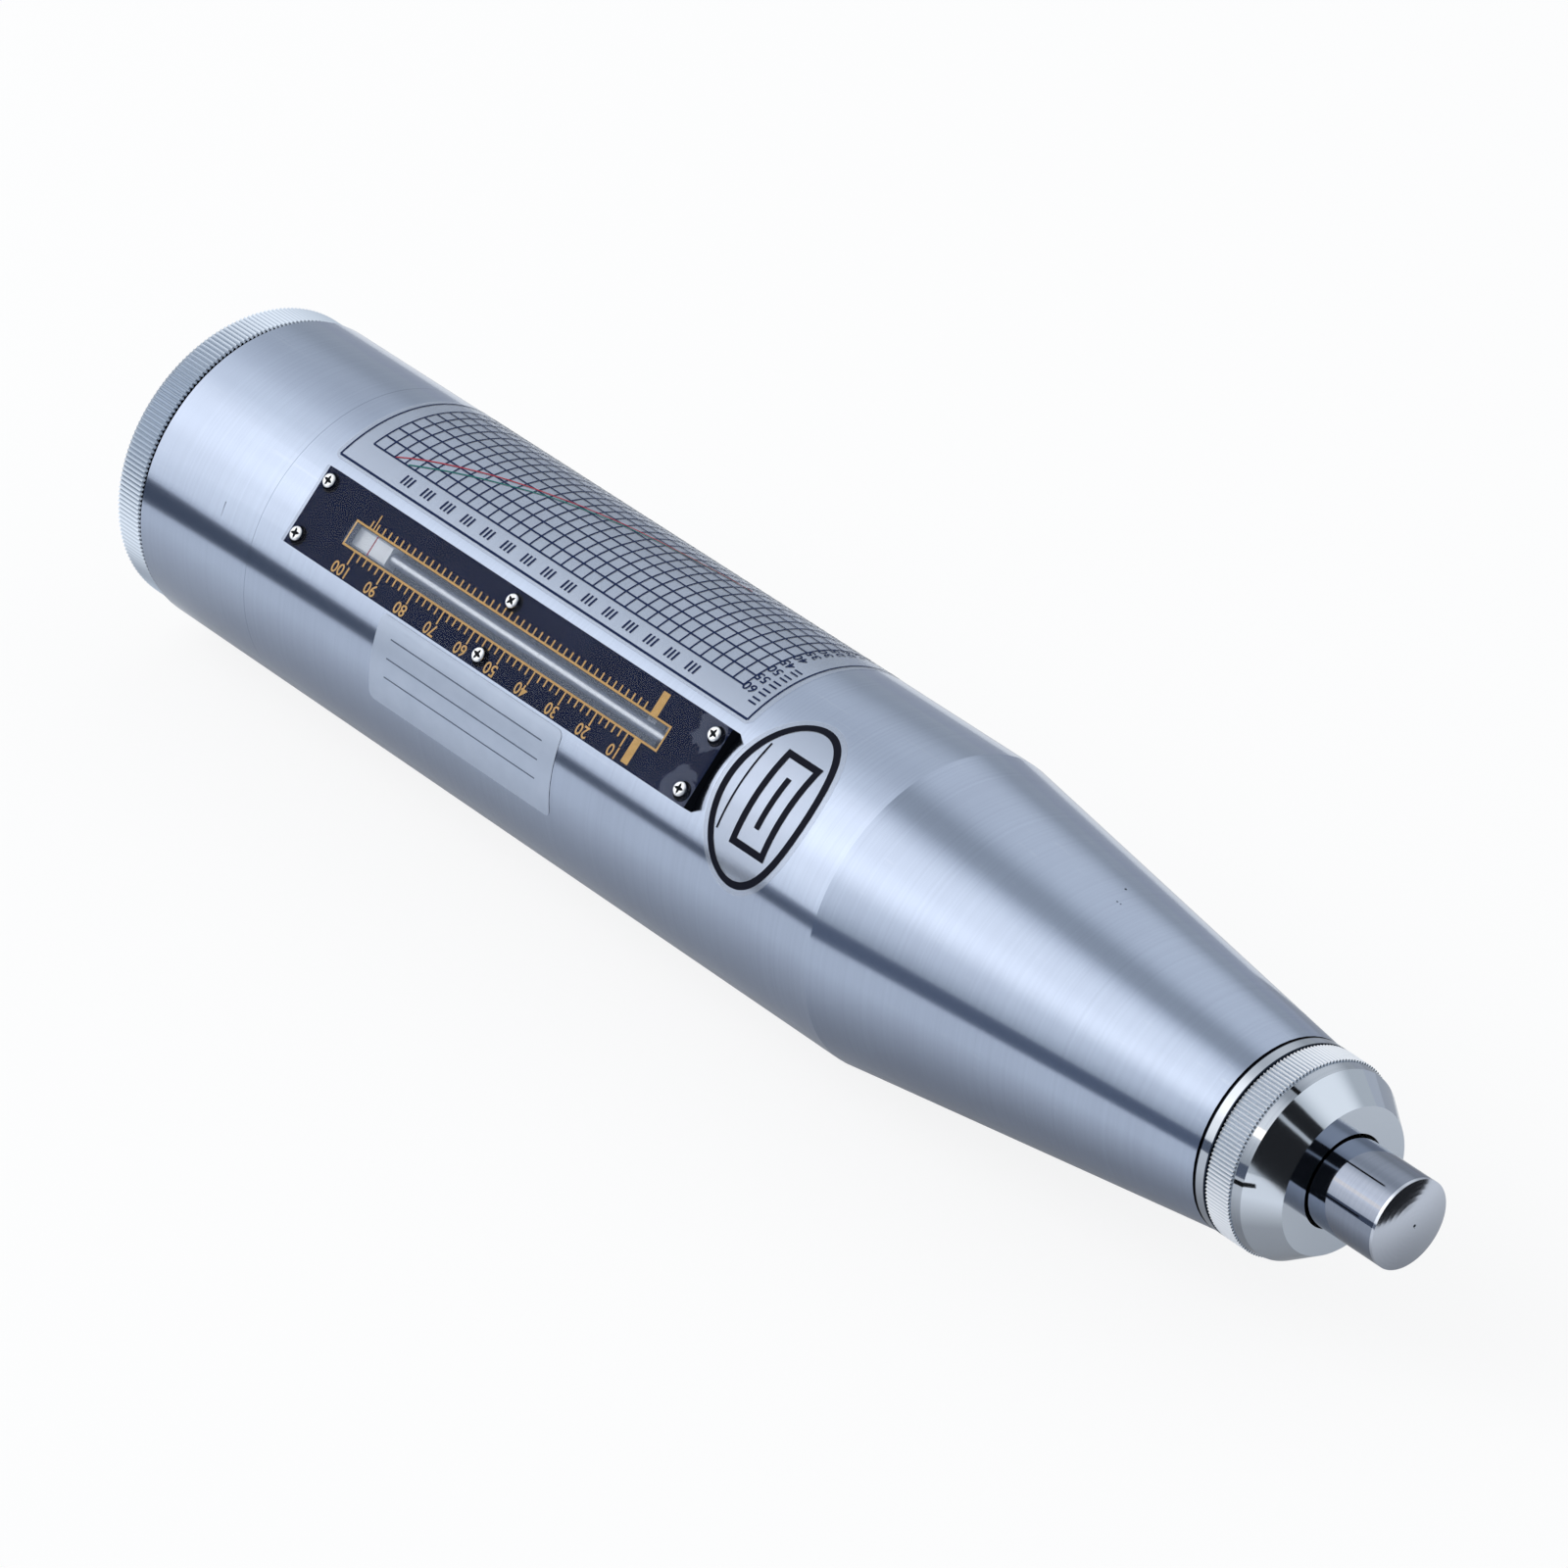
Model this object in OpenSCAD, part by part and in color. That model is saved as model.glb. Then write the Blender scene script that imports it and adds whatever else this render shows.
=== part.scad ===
// Rebound test hammer for concrete, lying on its side with its scale turned up to the front.
// X runs from the tail to the striking end, Z is up and the barrel rests on Z = 0.
// The tool is locked, as it is carried: plunger in, mass forward against it, rider left near 98.

/* [Housing] */
// Outer diameter of the barrel
barrel_d = 54; // [53:0.5:56]
// Wall of the barrel
barrel_wall = 3.5; // [3.2:0.1:4]
// Length of the tapered front of the housing
cone_len = 75.4; // [72:0.1:80]
// Outer diameter at the small end of the taper
cone_front_d = 33; // [32.8:0.1:34.5]
// Wall at the small end, threaded for the nose cap
front_wall = 2.5; // [2.3:0.1:2.7]
// Chamfer on the tail edge of the barrel
barrel_edge = 0.5; // [0.2:0.1:1]

/* [Rear cover] */
// Length of the knurled rim behind the barrel
cover_rim_len = 6.4; // [5.8:0.1:8]
// How far the rim's knurl stays below the barrel
cover_step = 0.4; // [0.2:0.1:1]
// Number of knurl ridges round the rim
cover_teeth = 200; // [160:1:240]
// Depth of both knurls
knurl_depth = 0.4; // [0.2:0.05:0.6]
// Open groove between the rim and the barrel
cover_groove = 0.5; // [0.3:0.1:1]
// Length of the threaded spigot inside the barrel
cover_spigot = 7.1; // [6:0.1:9]
// Thickness of the cover's end wall
cover_wall = 7; // [6.4:0.1:8]
// Length of the cover's inner boss, which the trip screw runs through
boss_len = 9; // [6:0.5:14]
// Depth of the recess that hides the lock nut
nut_recess = 4.4; // [4:0.1:4.6]
// Diameter of that recess
nut_recess_d = 22; // [18:0.5:24]
// Diameter of the trip screw
trip_d = 8; // [6:0.5:9]
// Diameter of the trip screw's plain tip
trip_tip_d = 5; // [4:0.5:5.5]
// Size of the lock nut across its flats
nut_flats = 13; // [12:0.5:15]
// Thickness of the lock nut
nut_len = 3.6; // [3:0.1:3.9]

/* [Nose cap] */
// Length of the cap's thread inside the housing
cap_spigot = 7.3; // [6:0.1:8]
// Dark joint between the housing and the cap
cap_groove = 0.4; // [0.2:0.1:0.8]
// Smooth flange behind the knurl, flush with the end of the taper
cap_flange_len = 1.9; // [1.5:0.1:2.5]
// Length of the knurled band, also flush
cap_knurl_len = 5.6; // [5:0.1:6.4]
// Number of knurl ridges round the cap
cap_teeth = 150; // [120:1:180]
// Smooth band in front of the knurl
cap_band_len = 1.7; // [1:0.1:2.4]
// How far the band stays below the knurl
cap_band_in = 0.3; // [0.1:0.1:0.5]
// How much further the band comes in towards the bevel
cap_band_taper = 0.3; // [0:0.1:0.6]
// Length of the polished bevel
cap_bevel_len = 5.2; // [4.6:0.1:5.6]
// How far the bevel comes in
cap_bevel_in = 3.5; // [3:0.1:3.8]
// Radial gap between the plunger and the hole it comes out of
cap_hole_gap = 0.4; // [0.3:0.1:0.8]
// Thickness of the cap's front wall
cap_front_wall = 2.2; // [1.8:0.1:2.6]

/* [Plunger and guide rod] */
// Diameter of the plunger's striking end
plunger_d = 15; // [14:0.1:15.4]
// How much thinner in radius the shank behind it is
shank_relief = 0.25; // [0.2:0.05:0.4]
// How far the tip stands out of the cap when the tool is locked
plunger_reach = 15.1; // [13:0.1:18]
// Radius of the crowned tip
crown_r = 25; // [20:1:40]
// Travel of the plunger against its buffer spring
buffer_travel = 3; // [2:0.1:4]
// Wall left ahead of the plunger's blind bore
plunger_end_wall = 16; // [15:0.5:20]
// Diameter of the guide rod
rod_d = 10; // [9:0.1:10.4]
// Length of the buffer spring as fitted
buffer_spring_len = 22; // [20:0.5:26]
// Working stroke of the carriage and of the mass, and length of the scale from 0 to 100
stroke = 75; // [70:0.5:76]

/* [Mass and impact spring] */
// Diameter of the hammer mass
mass_d = 33.8; // [32:0.2:34]
// Overall length of the mass
mass_len = 65; // [64:0.5:70]
// Length of the mass's striking nose
mass_nose_len = 3.5; // [3:0.1:5]
// Diameter of the ring that the pawl hooks on to
hook_ring_d = 25.2; // [24.8:0.1:25.4]
// Thickness of the hook ring
hook_ring_len = 2.5; // [2:0.1:3]
// Depth of the groove ahead of the hook ring
hook_groove_depth = 2.1; // [1.6:0.1:3]
// Length of that groove
hook_groove_len = 5; // [4.6:0.1:7]
// Working length of the impact spring
impact_spring_len = 61.5; // [58:0.5:64]
// Mean diameter of the impact spring
impact_spring_d = 24; // [23.4:0.1:24.4]
// Wire of the impact spring
impact_wire = 2; // [1.6:0.1:2.2]
// Curls in the impact spring
impact_curls = 15; // [12:1:18]

/* [Guide flange and pawl] */
// Thickness of the guide flange
flange_len = 7; // [6.6:0.1:8]
// Height of the pawl's pivot over the hook ring
pivot_rise = 1.4; // [1.2:0.1:2.4]
// Diameter of the pawl's pin
pin_d = 3; // [2.4:0.1:3.4]
// Thickness of the pawl
pawl_w = 4; // [3:0.1:5]
// Depth of the hook behind the ring
hook_grip = 1; // [0.8:0.1:1.2]
// Mean diameter of the pressure spring
pressure_spring_d = 30; // [26:0.5:32]
// Wire of the pressure spring
pressure_wire = 1.5; // [1.2:0.1:1.6]
// Length of the pressure spring as fitted with the tool locked
pressure_spring_len = 22; // [20:0.5:26]
// Curls in the pressure spring
pressure_curls = 7; // [5:1:8]

/* [Scale and rider] */
// Reading at which the rider was left
reading = 98.5; // [60:0.1:100]
// Distance from the rider's line to the end of its spring leaf
pointer_len = 19.3; // [19:0.1:22]
// Length of the scale plate behind the 100 mark
plate_rear = 14.2; // [13.8:0.1:17]
// Length of the scale plate ahead of the 0 mark
plate_front = 9.7; // [9.3:0.1:12]
// Width of the scale plate
plate_w = 14.2; // [13.5:0.1:15]
// Height of the clear cover's face above the crown of the barrel
plate_rise = 2; // [1.8:0.1:2.6]
// Thickness of the clear cover
pane_t = 0.8; // [0.6:0.1:1]
// Length of the window behind the 100 mark
window_rear = 2.9; // [2.8:0.1:4]
// Distance of the window's front end behind the 0 mark
window_front = 1.1; // [0.5:0.1:2]
// Width of the window in the plate
window_w = 3.9; // [3.7:0.1:4.4]
// Length of the rider
rider_len = 8.3; // [7:0.1:9]
// Diameter of the rod that the rider slides on
rider_rod_d = 2; // [1.6:0.1:2]
// Thickness of the rider's spring leaf
leaf_t = 0.4; // [0.3:0.05:0.5]
// Head diameter of the scale screws
scale_screw_d = 2.5; // [2.2:0.1:2.8]
// Distance of the scale screws from the plate's long edges
scale_screw_edge = 2.15; // [1.9:0.05:2.4]
// Distance of the middle screws from the plate's rear end
screw_mid = 48; // [40:0.5:56]
// Distance of the end screws from the plate's ends
scale_screw_inset = 2.05; // [1.9:0.05:2.5]

/* [Lock button] */
// Diameter of the button
button_d = 10; // [9.6:0.1:11]
// Travel of the button
button_travel = 3; // [2:0.1:3.2]
// How much smaller in radius the locking head inside is
lock_head_step = 0.4; // [0.3:0.1:1]

/* [Clearances] */
// Radial clearance of a sliding fit
slide_fit = 0.06; // [0.03:0.01:0.1]
// Radial clearance of a pressed or threaded fit
still_fit = 0.02; // [0.01:0.01:0.04]
// Gap to a moving neighbour
run_gap = 0.3; // [0.25:0.05:0.4]

/* [Hidden] */
$fn = 96;

// Radii of the housing
barrel_r = barrel_d / 2;
bore_r = barrel_r - barrel_wall;
cone_front_r = cone_front_d / 2;
front_bore_r = cone_front_r - front_wall;

// Edges and small steps that are alike all over the tool
edge = 0.5;
fine_edge = 0.3;
over = 1;

// Cuts through the barrel's wall start this far inside its bore
cut_r = bore_r - 2;

// Impact spring, and the cores that its ends sit on
impact_r = impact_spring_d / 2;
core_gap = 1.3;
spring_core_r = impact_r - impact_wire / 2 - core_gap;
taper_end_r = impact_r + impact_wire / 2 + 0.4;
leg_depth = impact_wire;

// Stations of the locked tool, from the tail face forward. The carriage waits behind the
// mass, which it reaches when the plunger is fully out
x_barrel0 = cover_rim_len + cover_groove;
hook_gap = 2;
x_flange0 = cover_wall + pressure_spring_len;
x_flange1 = x_flange0 + flange_len;
x_mass = x_flange1 + hook_gap + stroke;
x_impact = x_mass + mass_len;
x_shoulder = x_impact - mass_nose_len;
x_plunger = x_impact + buffer_travel + run_gap;
seat_flange_t = 3;
seat_sleeve_len = 8;
ring_t = 1.8;
x_seat = x_shoulder + impact_spring_len;
x_ring = x_seat + seat_flange_t;
x_spigot = x_ring + ring_t;

// The housing ends where the cap's thread does, and its barrel takes what the taper leaves
x_cone1 = x_spigot + cap_spigot;
x_cone0 = x_cone1 - cone_len;
x_cap0 = x_cone1 + cap_groove;
x_knurl0 = x_cap0 + cap_flange_len;
x_knurl1 = x_knurl0 + cap_knurl_len;
x_bevel0 = x_knurl1 + cap_band_len;
x_face = x_bevel0 + cap_bevel_len;
x_tip = x_face + plunger_reach;

// Scale and rider
x_zero = x_mass + pointer_len;
x_hundred = x_zero - stroke;
x_line = x_zero - stroke * reading / 100;

// Guide flange
flange_r = bore_r - slide_fit - still_fit;
flange_web = 2.2;
x_web = x_flange1 - flange_web;
hub_len = 1;
hub_r = 9;
recess_r = hub_r - 2.5;

// How far the knurl's ridges reach into the core they stand on
knurl_sink = 0.06;

// Rear cover and trip screw
cover_r = barrel_r - cover_step;
trip_r = trip_d / 2;
boss_wall = 4;
boss_r = trip_r + boss_wall;
x_boss = cover_wall + boss_len;
cover_hollow_r = bore_r - 2.5;
neck_r = bore_r + 1.2;
trip_sunk = 0.7;
trip_tip_len = 3;
trip_slot_w = 1;
trip_slot_depth = 1.2;
rim_edge = 0.7;

// Nose cap and felt
cap_r = cone_front_r;
cap_band_r = cap_r - cap_band_in;
cap_bevel_r = cap_band_r - cap_band_taper;
cap_face_r = cap_bevel_r - cap_bevel_in;
cap_neck_r = front_bore_r + 1.4;
felt_r = cap_face_r - 0.9;
felt_t = 3.4;
felt_room = 4;
notch = 0.4;
cap_relief = 1.2;

// Split ring
ring_grip = 1;
ring_width = 4.5;
ring_cut = 0.4;

// Plunger and rod
plunger_r = plunger_d / 2;
shank_r = plunger_r - shank_relief;
rod_r = rod_d / 2;
rod_bore_r = rod_r + slide_fit;
x_land = x_face + 0.1;
crown_steps = 10;
crown = [for (i = [crown_steps:-1:0])
    let(a = asin(plunger_r / crown_r) * i / crown_steps)
    [crown_r * sin(a), x_tip - crown_r + crown_r * cos(a)]];
x_blind = x_tip - plunger_end_wall;
x_rod1 = x_blind - buffer_spring_len;
rod_pilot_r = 2.2;
rod_pilot_len = 3;
buffer_spring_d = 7.2;
buffer_wire = 1.2;
buffer_curls = 6;

// Mass
mass_r = mass_d / 2;
hook_ring_r = hook_ring_d / 2;
hook_groove_r = hook_ring_r - hook_groove_depth;

// Pawl, in the plane of X and Y
pin_r = pin_d / 2;
pin_overhang = 4;
pin_half = pawl_w / 2 + pin_overhang;
pivot_y = hook_ring_r + pivot_rise;
pivot_x = x_web - 1.1;
pawl_boss_r = pin_r + 1.4;
hook_len = 2.4;
hook_x0 = x_mass - stroke + hook_ring_len + run_gap;
hook_x1 = hook_x0 + hook_len;
hook_y0 = hook_ring_r - hook_grip;
arm_y0 = hook_ring_r + 2 * run_gap;
arm_t = 3.6;
arm_y1 = arm_y0 + arm_t;
arm_room = 1.5;
tail_x0 = x_flange0 + 0.4;
tail_t = 2;
tail_x1 = tail_x0 + tail_t;
tail_y0 = -1.8;
pawl_side = 0.15;
pocket_y = 8;
pocket_depth = 1.6;
pawl_spring_d = 2.7;
pawl_wire = 0.5;
pawl_curls = 2.5;

// Scale, rider and window
plate_x0 = x_hundred - plate_rear;
plate_x1 = x_zero + plate_front;
window_x0 = x_hundred - window_rear;
window_x1 = x_zero - window_front;
z_pane1 = barrel_r + plate_rise;
z_pane0 = z_pane1 - pane_t;
rider_back = rider_len / 2;
rider_w = window_w - 0.4;
slot_r = window_w / 2 + 0.05;
rider_z0 = bore_r + 0.5;
rider_z1 = barrel_r - run_gap;
rider_rod_r = rider_rod_d / 2;
rod_z = rider_z0 + rider_rod_r + run_gap;
block_rear_len = 5.6;
block_front_len = 3.6;
block_gap = 0.8;
block_z0 = bore_r + 0.4;
block_z1 = barrel_r - 0.1;
rod_inset = 1;
slot_x0 = x_hundred - rider_back - block_gap - block_rear_len;
slot_x1 = x_zero + rider_back + block_gap + block_front_len;
index_w = 0.3;
index_depth = 0.12;
leaf_w = 3;
leaf_z = mass_r + run_gap + leaf_t / 2;
leaf_foot_len = 6.5;
leaf_tip_len = 3;
notch_half = leaf_w / 2 + 0.6;
screw_r = 0.75;
screw_depth = 2.4;
screw_head_r = scale_screw_d / 2;
screw_head_h = pane_t + 0.2;
screw_dome = 0.35;
screw_twist = 17;
cross_reach = screw_head_r * 0.55;
cross_half = screw_head_r * 0.14;
cross_depth = 0.45;
saddle_z = barrel_r - 3;
screw_y = plate_w / 2 - scale_screw_edge;
screw_xs = [plate_x0 + scale_screw_inset,
            plate_x0 + screw_mid,
            plate_x1 - scale_screw_inset];

// Lock button, on the side away from the scale
button_r = button_d / 2;
lock_head_r = button_r - lock_head_step;
button_x = x_flange1 + lock_head_r + 0.4;
bush_wall = 2;
bush_r = button_r + bush_wall;
bush_flange_w = 2.6;
bush_flange_r = bush_r + bush_flange_w;
head_room = 0.4;
bush_web_t = 1.2;
lock_head_t = 1.2;
bush_z0 = bore_r + 0.4;
head_z0 = flange_r + run_gap;
head_z1 = head_z0 + lock_head_t;
bush_web0 = head_z1 + run_gap;
bush_web1 = bush_web0 + bush_web_t;
bush_rise = 3;
bush_top = barrel_r + bush_rise;
bush_flange_rise = 1.4;
bush_flange_top = barrel_r + bush_flange_rise;
stem_r = 2.5;
button_edge = 0.4;
button_roof = 1.6;
button_shell = 0.7;
// The button's bevelled rim meets the ground just as the barrel does
button_top = barrel_r * sqrt(2) - button_r + button_edge - 0.03;
cap_z0 = bush_web1 + button_travel + 0.1;
cap_roof = button_top - button_roof;
stem_z1 = cap_roof + button_roof / 2;
button_spring_d = 7.2;
button_wire = 0.6;
button_curls = 3;

// Colours
aluminium = [0.72, 0.76, 0.82];
bright_steel = [0.8, 0.82, 0.86];
dark_steel = [0.35, 0.37, 0.4];
spring_steel = [0.55, 0.56, 0.6];
navy = [0.13, 0.16, 0.26];
felt_grey = [0.25, 0.24, 0.22];
clear = [0.8, 0.9, 1, 0.35];
matt_silver = [0.78, 0.84, 0.9];

// Turns the tool frame, where Z is square to the scale, into the part's frame
module place() {
    translate([-x_tip / 2, 0, barrel_r])
        rotate([45, 0, 0])
            children();
}

// Revolves an outline of [radius, station] about the tool's axis
module turned(outline) {
    rotate([0, 90, 0])
        rotate_extrude()
            polygon(outline);
}

// A round bar or bore along the tool from one station to another
module round_x(r, x0, x1, y = 0, z = 0) {
    translate([x0, y, z])
        rotate([0, 90, 0])
            cylinder(r = r, h = x1 - x0);
}

// A box given by its lowest and highest corners
module box(low, high) {
    translate(low)
        cube(high - low);
}

// A band of straight ridges that stand on a round core of root_r
module knurl(tip_r, root_r, teeth, x0, x1) {
    step = 360 / teeth;
    ring = [for (i = [0:teeth - 1], side = [0, 1])
        let(r = side == 0 ? tip_r : root_r - knurl_sink, a = (i + side / 2) * step)
        [r * cos(a), r * sin(a)]];
    translate([x0, 0, 0])
        rotate([0, 90, 0])
            linear_extrude(height = x1 - x0)
                polygon(ring);
}

// Centre line of a wound spring along X: a straight leg, the curls, and a straight leg
rings_per_curl = 8;
function spring_line(mean_r, wire, x0, x1, curls) =
    let(n = curls * rings_per_curl, a = x0 + wire * 1.5, b = x1 - wire * 1.5,
        y1 = mean_r * cos(360 * curls), z1 = mean_r * sin(360 * curls))
    concat([[x0, mean_r, 0], [x0 + wire, mean_r, 0]],
           [for (i = [0:n]) [a + (b - a) * i / n, mean_r * cos(360 * i / rings_per_curl),
                             mean_r * sin(360 * i / rings_per_curl)]],
           [[x1 - wire, y1, z1], [x1, y1, z1]]);

// Least distance between curls, less the wire
function spring_gap(line, wire) =
    min([for (i = [0:len(line) - 5], j = [i + 4:len(line) - 1]) norm(line[i] - line[j])]) - wire;

// One unbroken six-sided tube along that line
module wound(mean_r, wire, x0, x1, curls, label) {
    line = spring_line(mean_r, wire, x0, x1, curls);
    n = len(line);
    sides = 6;
    echo(str(label, " least gap to itself ", spring_gap(line, wire)));
    points = [for (i = [0:n - 1])
        let(ahead = line[min(i + 1, n - 1)], behind = line[max(i - 1, 0)],
            t = (ahead - behind) / norm(ahead - behind),
            out = [0, line[i][1], line[i][2]] / mean_r,
            e = out - (out * t) * t,
            e1 = e / norm(e), e2 = cross(t, e1))
        for (k = [0:sides - 1])
            line[i] + wire / 2 * (cos(60 * k) * e1 + sin(60 * k) * e2)];
    skin = [for (i = [0:n - 2], k = [0:sides - 1], half = [0, 1])
        let(a = i * sides + k, b = i * sides + (k + 1) % sides, c = a + sides, d = b + sides)
        half == 0 ? [a, c, b] : [b, c, d]];
    tail_end = [for (k = [1:sides - 2]) [0, k, k + 1]];
    last = (n - 1) * sides;
    nose_end = [for (k = [1:sides - 2]) [last, last + k + 1, last + k]];
    polyhedron(points, concat(skin, tail_end, nose_end));
}

// Barrel and taper in one turned tube
module housing() {
    color(aluminium)
        place()
            difference() {
                turned([[bore_r, x_barrel0], [barrel_r - barrel_edge, x_barrel0],
                        [barrel_r, x_barrel0 + barrel_edge], [barrel_r, x_cone0],
                        [cone_front_r, x_cone1], [front_bore_r, x_cone1],
                        [front_bore_r, x_seat], [taper_end_r, x_seat],
                        [bore_r, x_shoulder]]);
                ring_groove();
                rider_slot();
                screw_holes(barrel_r - screw_depth - fine_edge, barrel_r + over);
                round_z(bush_r + still_fit, -barrel_r - over, -cut_r, button_x);
            }
}

// A round bar or bore square to the scale
module round_z(r, z0, z1, x, y = 0) {
    translate([x, y, z0])
        cylinder(r = r, h = z1 - z0);
}

// Groove inside the front bore that holds the split ring
module ring_groove() {
    turned([[front_bore_r - over, x_ring], [front_bore_r + ring_grip, x_ring],
            [front_bore_r + ring_grip, x_spigot], [front_bore_r - over, x_spigot]]);
}

// Slot in the barrel for the rider, with round ends
module rider_slot() {
    box([slot_x0 + slot_r, -slot_r, cut_r], [slot_x1 - slot_r, slot_r, barrel_r + over]);
    round_z(slot_r, cut_r, barrel_r + over, slot_x0 + slot_r);
    round_z(slot_r, cut_r, barrel_r + over, slot_x1 - slot_r);
}

// Holes for the six scale screws
module screw_holes(z0, z1) {
    for (x = screw_xs, side = [-1, 1])
        round_z(screw_r + still_fit, z0, z1, x, side * screw_y);
}

// Screwed cap at the tail with the seat of the pressure spring inside
module rear_cover() {
    root_r = cover_r - knurl_depth;
    rim_end = cover_rim_len - fine_edge;
    spigot_r = bore_r - still_fit;
    x_spigot_end = x_barrel0 + cover_spigot;
    color(bright_steel)
        place()
            difference() {
                union() {
                    knurl(cover_r, root_r, cover_teeth, rim_edge, cover_rim_len);
                    turned([[0, 0], [root_r - edge, 0], [root_r, rim_edge], [root_r, rim_end],
                            [neck_r, rim_end], [neck_r, x_barrel0], [spigot_r, x_barrel0],
                            [spigot_r, x_spigot_end], [cover_hollow_r, x_spigot_end],
                            [cover_hollow_r, cover_wall], [boss_r, cover_wall],
                            [boss_r, x_boss], [0, x_boss]]);
                }
                round_x(trip_r + still_fit, -over, x_boss + over);
                round_x(nut_recess_d / 2, -over, nut_recess);
            }
}

// Adjusting screw that trips the pawl at the end of the stroke
module trip_screw() {
    x_end = tail_x0 - run_gap;
    x_step = x_end - trip_tip_len;
    slot = trip_slot_w / 2;
    color(dark_steel)
        place()
            difference() {
                turned([[0, trip_sunk], [trip_r - edge, trip_sunk], [trip_r, trip_sunk + edge],
                        [trip_r, x_step], [trip_tip_d / 2, x_step],
                        [trip_tip_d / 2, x_end], [0, x_end]]);
                box([0, -trip_d, -slot], [trip_sunk + trip_slot_depth, trip_d, slot]);
            }
}

// Lock nut of the trip screw
module trip_lock_nut() {
    color(bright_steel)
        place()
            difference() {
                translate([nut_recess - nut_len, 0, 0])
                    rotate([0, 90, 0])
                        cylinder(r = nut_flats / sqrt(3), h = nut_len, $fn = 6);
                round_x(trip_r + still_fit, 0, nut_recess + over);
            }
}

// Spring that pushes the carriage out when the lock lets go
module pressure_spring() {
    color(spring_steel)
        place()
            rotate([180, 0, 0])
                wound(pressure_spring_d / 2, pressure_wire, cover_wall, x_flange0,
                      pressure_curls, "pressure_spring");
}

// Disc that carries the rod and the pawl along the bore
module guide_flange() {
    slot = pawl_w / 2 + pawl_side;
    x_behind = x_flange0 - over;
    x_ahead = x_flange1 + hub_len + over;
    color(bright_steel)
        place()
            difference() {
                turned([[0, x_web], [recess_r, x_web], [recess_r, x_flange0],
                        [flange_r - edge, x_flange0], [flange_r, x_flange0 + edge],
                        [flange_r, x_flange1 - edge], [flange_r - edge, x_flange1],
                        [hub_r, x_flange1], [hub_r - edge, x_flange1 + hub_len],
                        [0, x_flange1 + hub_len]]);
                round_x(rod_r + still_fit, x_web - over, x_ahead);
                box([x_behind, -notch_half, leaf_z - leaf_t - run_gap],
                    [x_ahead, notch_half, bore_r + over]);
                box([x_behind, 0, -slot], [x_web, pivot_y, slot]);
                box([x_behind, hook_y0 - 2 * run_gap, -slot], [x_ahead, arm_y1 + arm_room, slot]);
                round_z(pin_r + still_fit, -pin_half, pin_half, pivot_x, pivot_y);
                round_x(pawl_spring_d / 2 + edge, x_web - edge, x_web + pocket_depth, pocket_y);
            }
}

// Rod that guides the mass and carries the plunger
module guide_rod() {
    color(bright_steel)
        place()
            turned([[0, x_web], [rod_r - edge, x_web], [rod_r, x_web + edge],
                    [rod_r, x_rod1 - edge], [rod_r - edge, x_rod1], [rod_pilot_r, x_rod1],
                    [rod_pilot_r, x_rod1 + rod_pilot_len], [0, x_rod1 + rod_pilot_len]]);
}

// Hook lever: its tail meets the trip screw and its hook holds the mass back
module pawl() {
    color(dark_steel)
        place()
            translate([0, 0, -pawl_w / 2])
                difference() {
                    linear_extrude(height = pawl_w)
                        union() {
                            polygon([[tail_x0, tail_y0], [tail_x1, tail_y0],
                                     [tail_x1, pivot_y - pawl_boss_r],
                                     [pivot_x + pin_r, pivot_y - pawl_boss_r + edge],
                                     [pivot_x + pawl_boss_r, arm_y0], [hook_x0, arm_y0],
                                     [hook_x0, hook_y0], [hook_x0 + hook_len / 2, hook_y0],
                                     [hook_x1, arm_y0], [hook_x1, arm_y1 - 2 * edge],
                                     [hook_x1 - 2 * edge, arm_y1], [pivot_x, arm_y1],
                                     [tail_x0 + edge, pivot_y + edge]]);
                            translate([pivot_x, pivot_y])
                                circle(r = pawl_boss_r);
                        }
                    translate([pivot_x, pivot_y, -over])
                        cylinder(r = pin_r + slide_fit, h = pawl_w + 2 * over);
                }
}

// Pin that the pawl turns on
module pawl_pin() {
    color(bright_steel)
        place()
            round_z(pin_r, fine_edge - pin_half, pin_half - fine_edge, pivot_x, pivot_y);
}

// Small spring that keeps the pawl's hook in
module pawl_spring() {
    color(spring_steel)
        place()
            translate([0, pocket_y, 0])
                wound(pawl_spring_d / 2, pawl_wire, tail_x1, x_web + pocket_depth,
                      pawl_curls, "pawl_spring");
}

// Sliding mass that strikes the plunger
module hammer_mass() {
    x_ring1 = x_mass + hook_ring_len;
    x_body = x_ring1 + hook_groove_len;
    color(bright_steel)
        place()
            difference() {
                turned([[rod_bore_r, x_mass], [hook_ring_r - edge, x_mass],
                        [hook_ring_r, x_mass + edge], [hook_ring_r, x_ring1],
                        [hook_groove_r, x_ring1], [hook_groove_r, x_body],
                        [mass_r - 2 * edge, x_body], [mass_r, x_body + 2 * edge],
                        [mass_r, x_shoulder - edge], [mass_r - edge, x_shoulder],
                        [spring_core_r, x_shoulder], [spring_core_r, x_impact - fine_edge],
                        [spring_core_r - fine_edge, x_impact], [rod_bore_r, x_impact]]);
                round_x(impact_wire / 2 + run_gap, x_shoulder - leg_depth - fine_edge,
                        x_shoulder + over, impact_r);
            }
}

// Tension spring that drives the mass, hooked into the mass and the seat
module impact_spring() {
    color(spring_steel)
        place()
            wound(impact_r, impact_wire, x_shoulder - leg_depth, x_seat + leg_depth,
                  impact_curls, "impact_spring");
}

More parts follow.
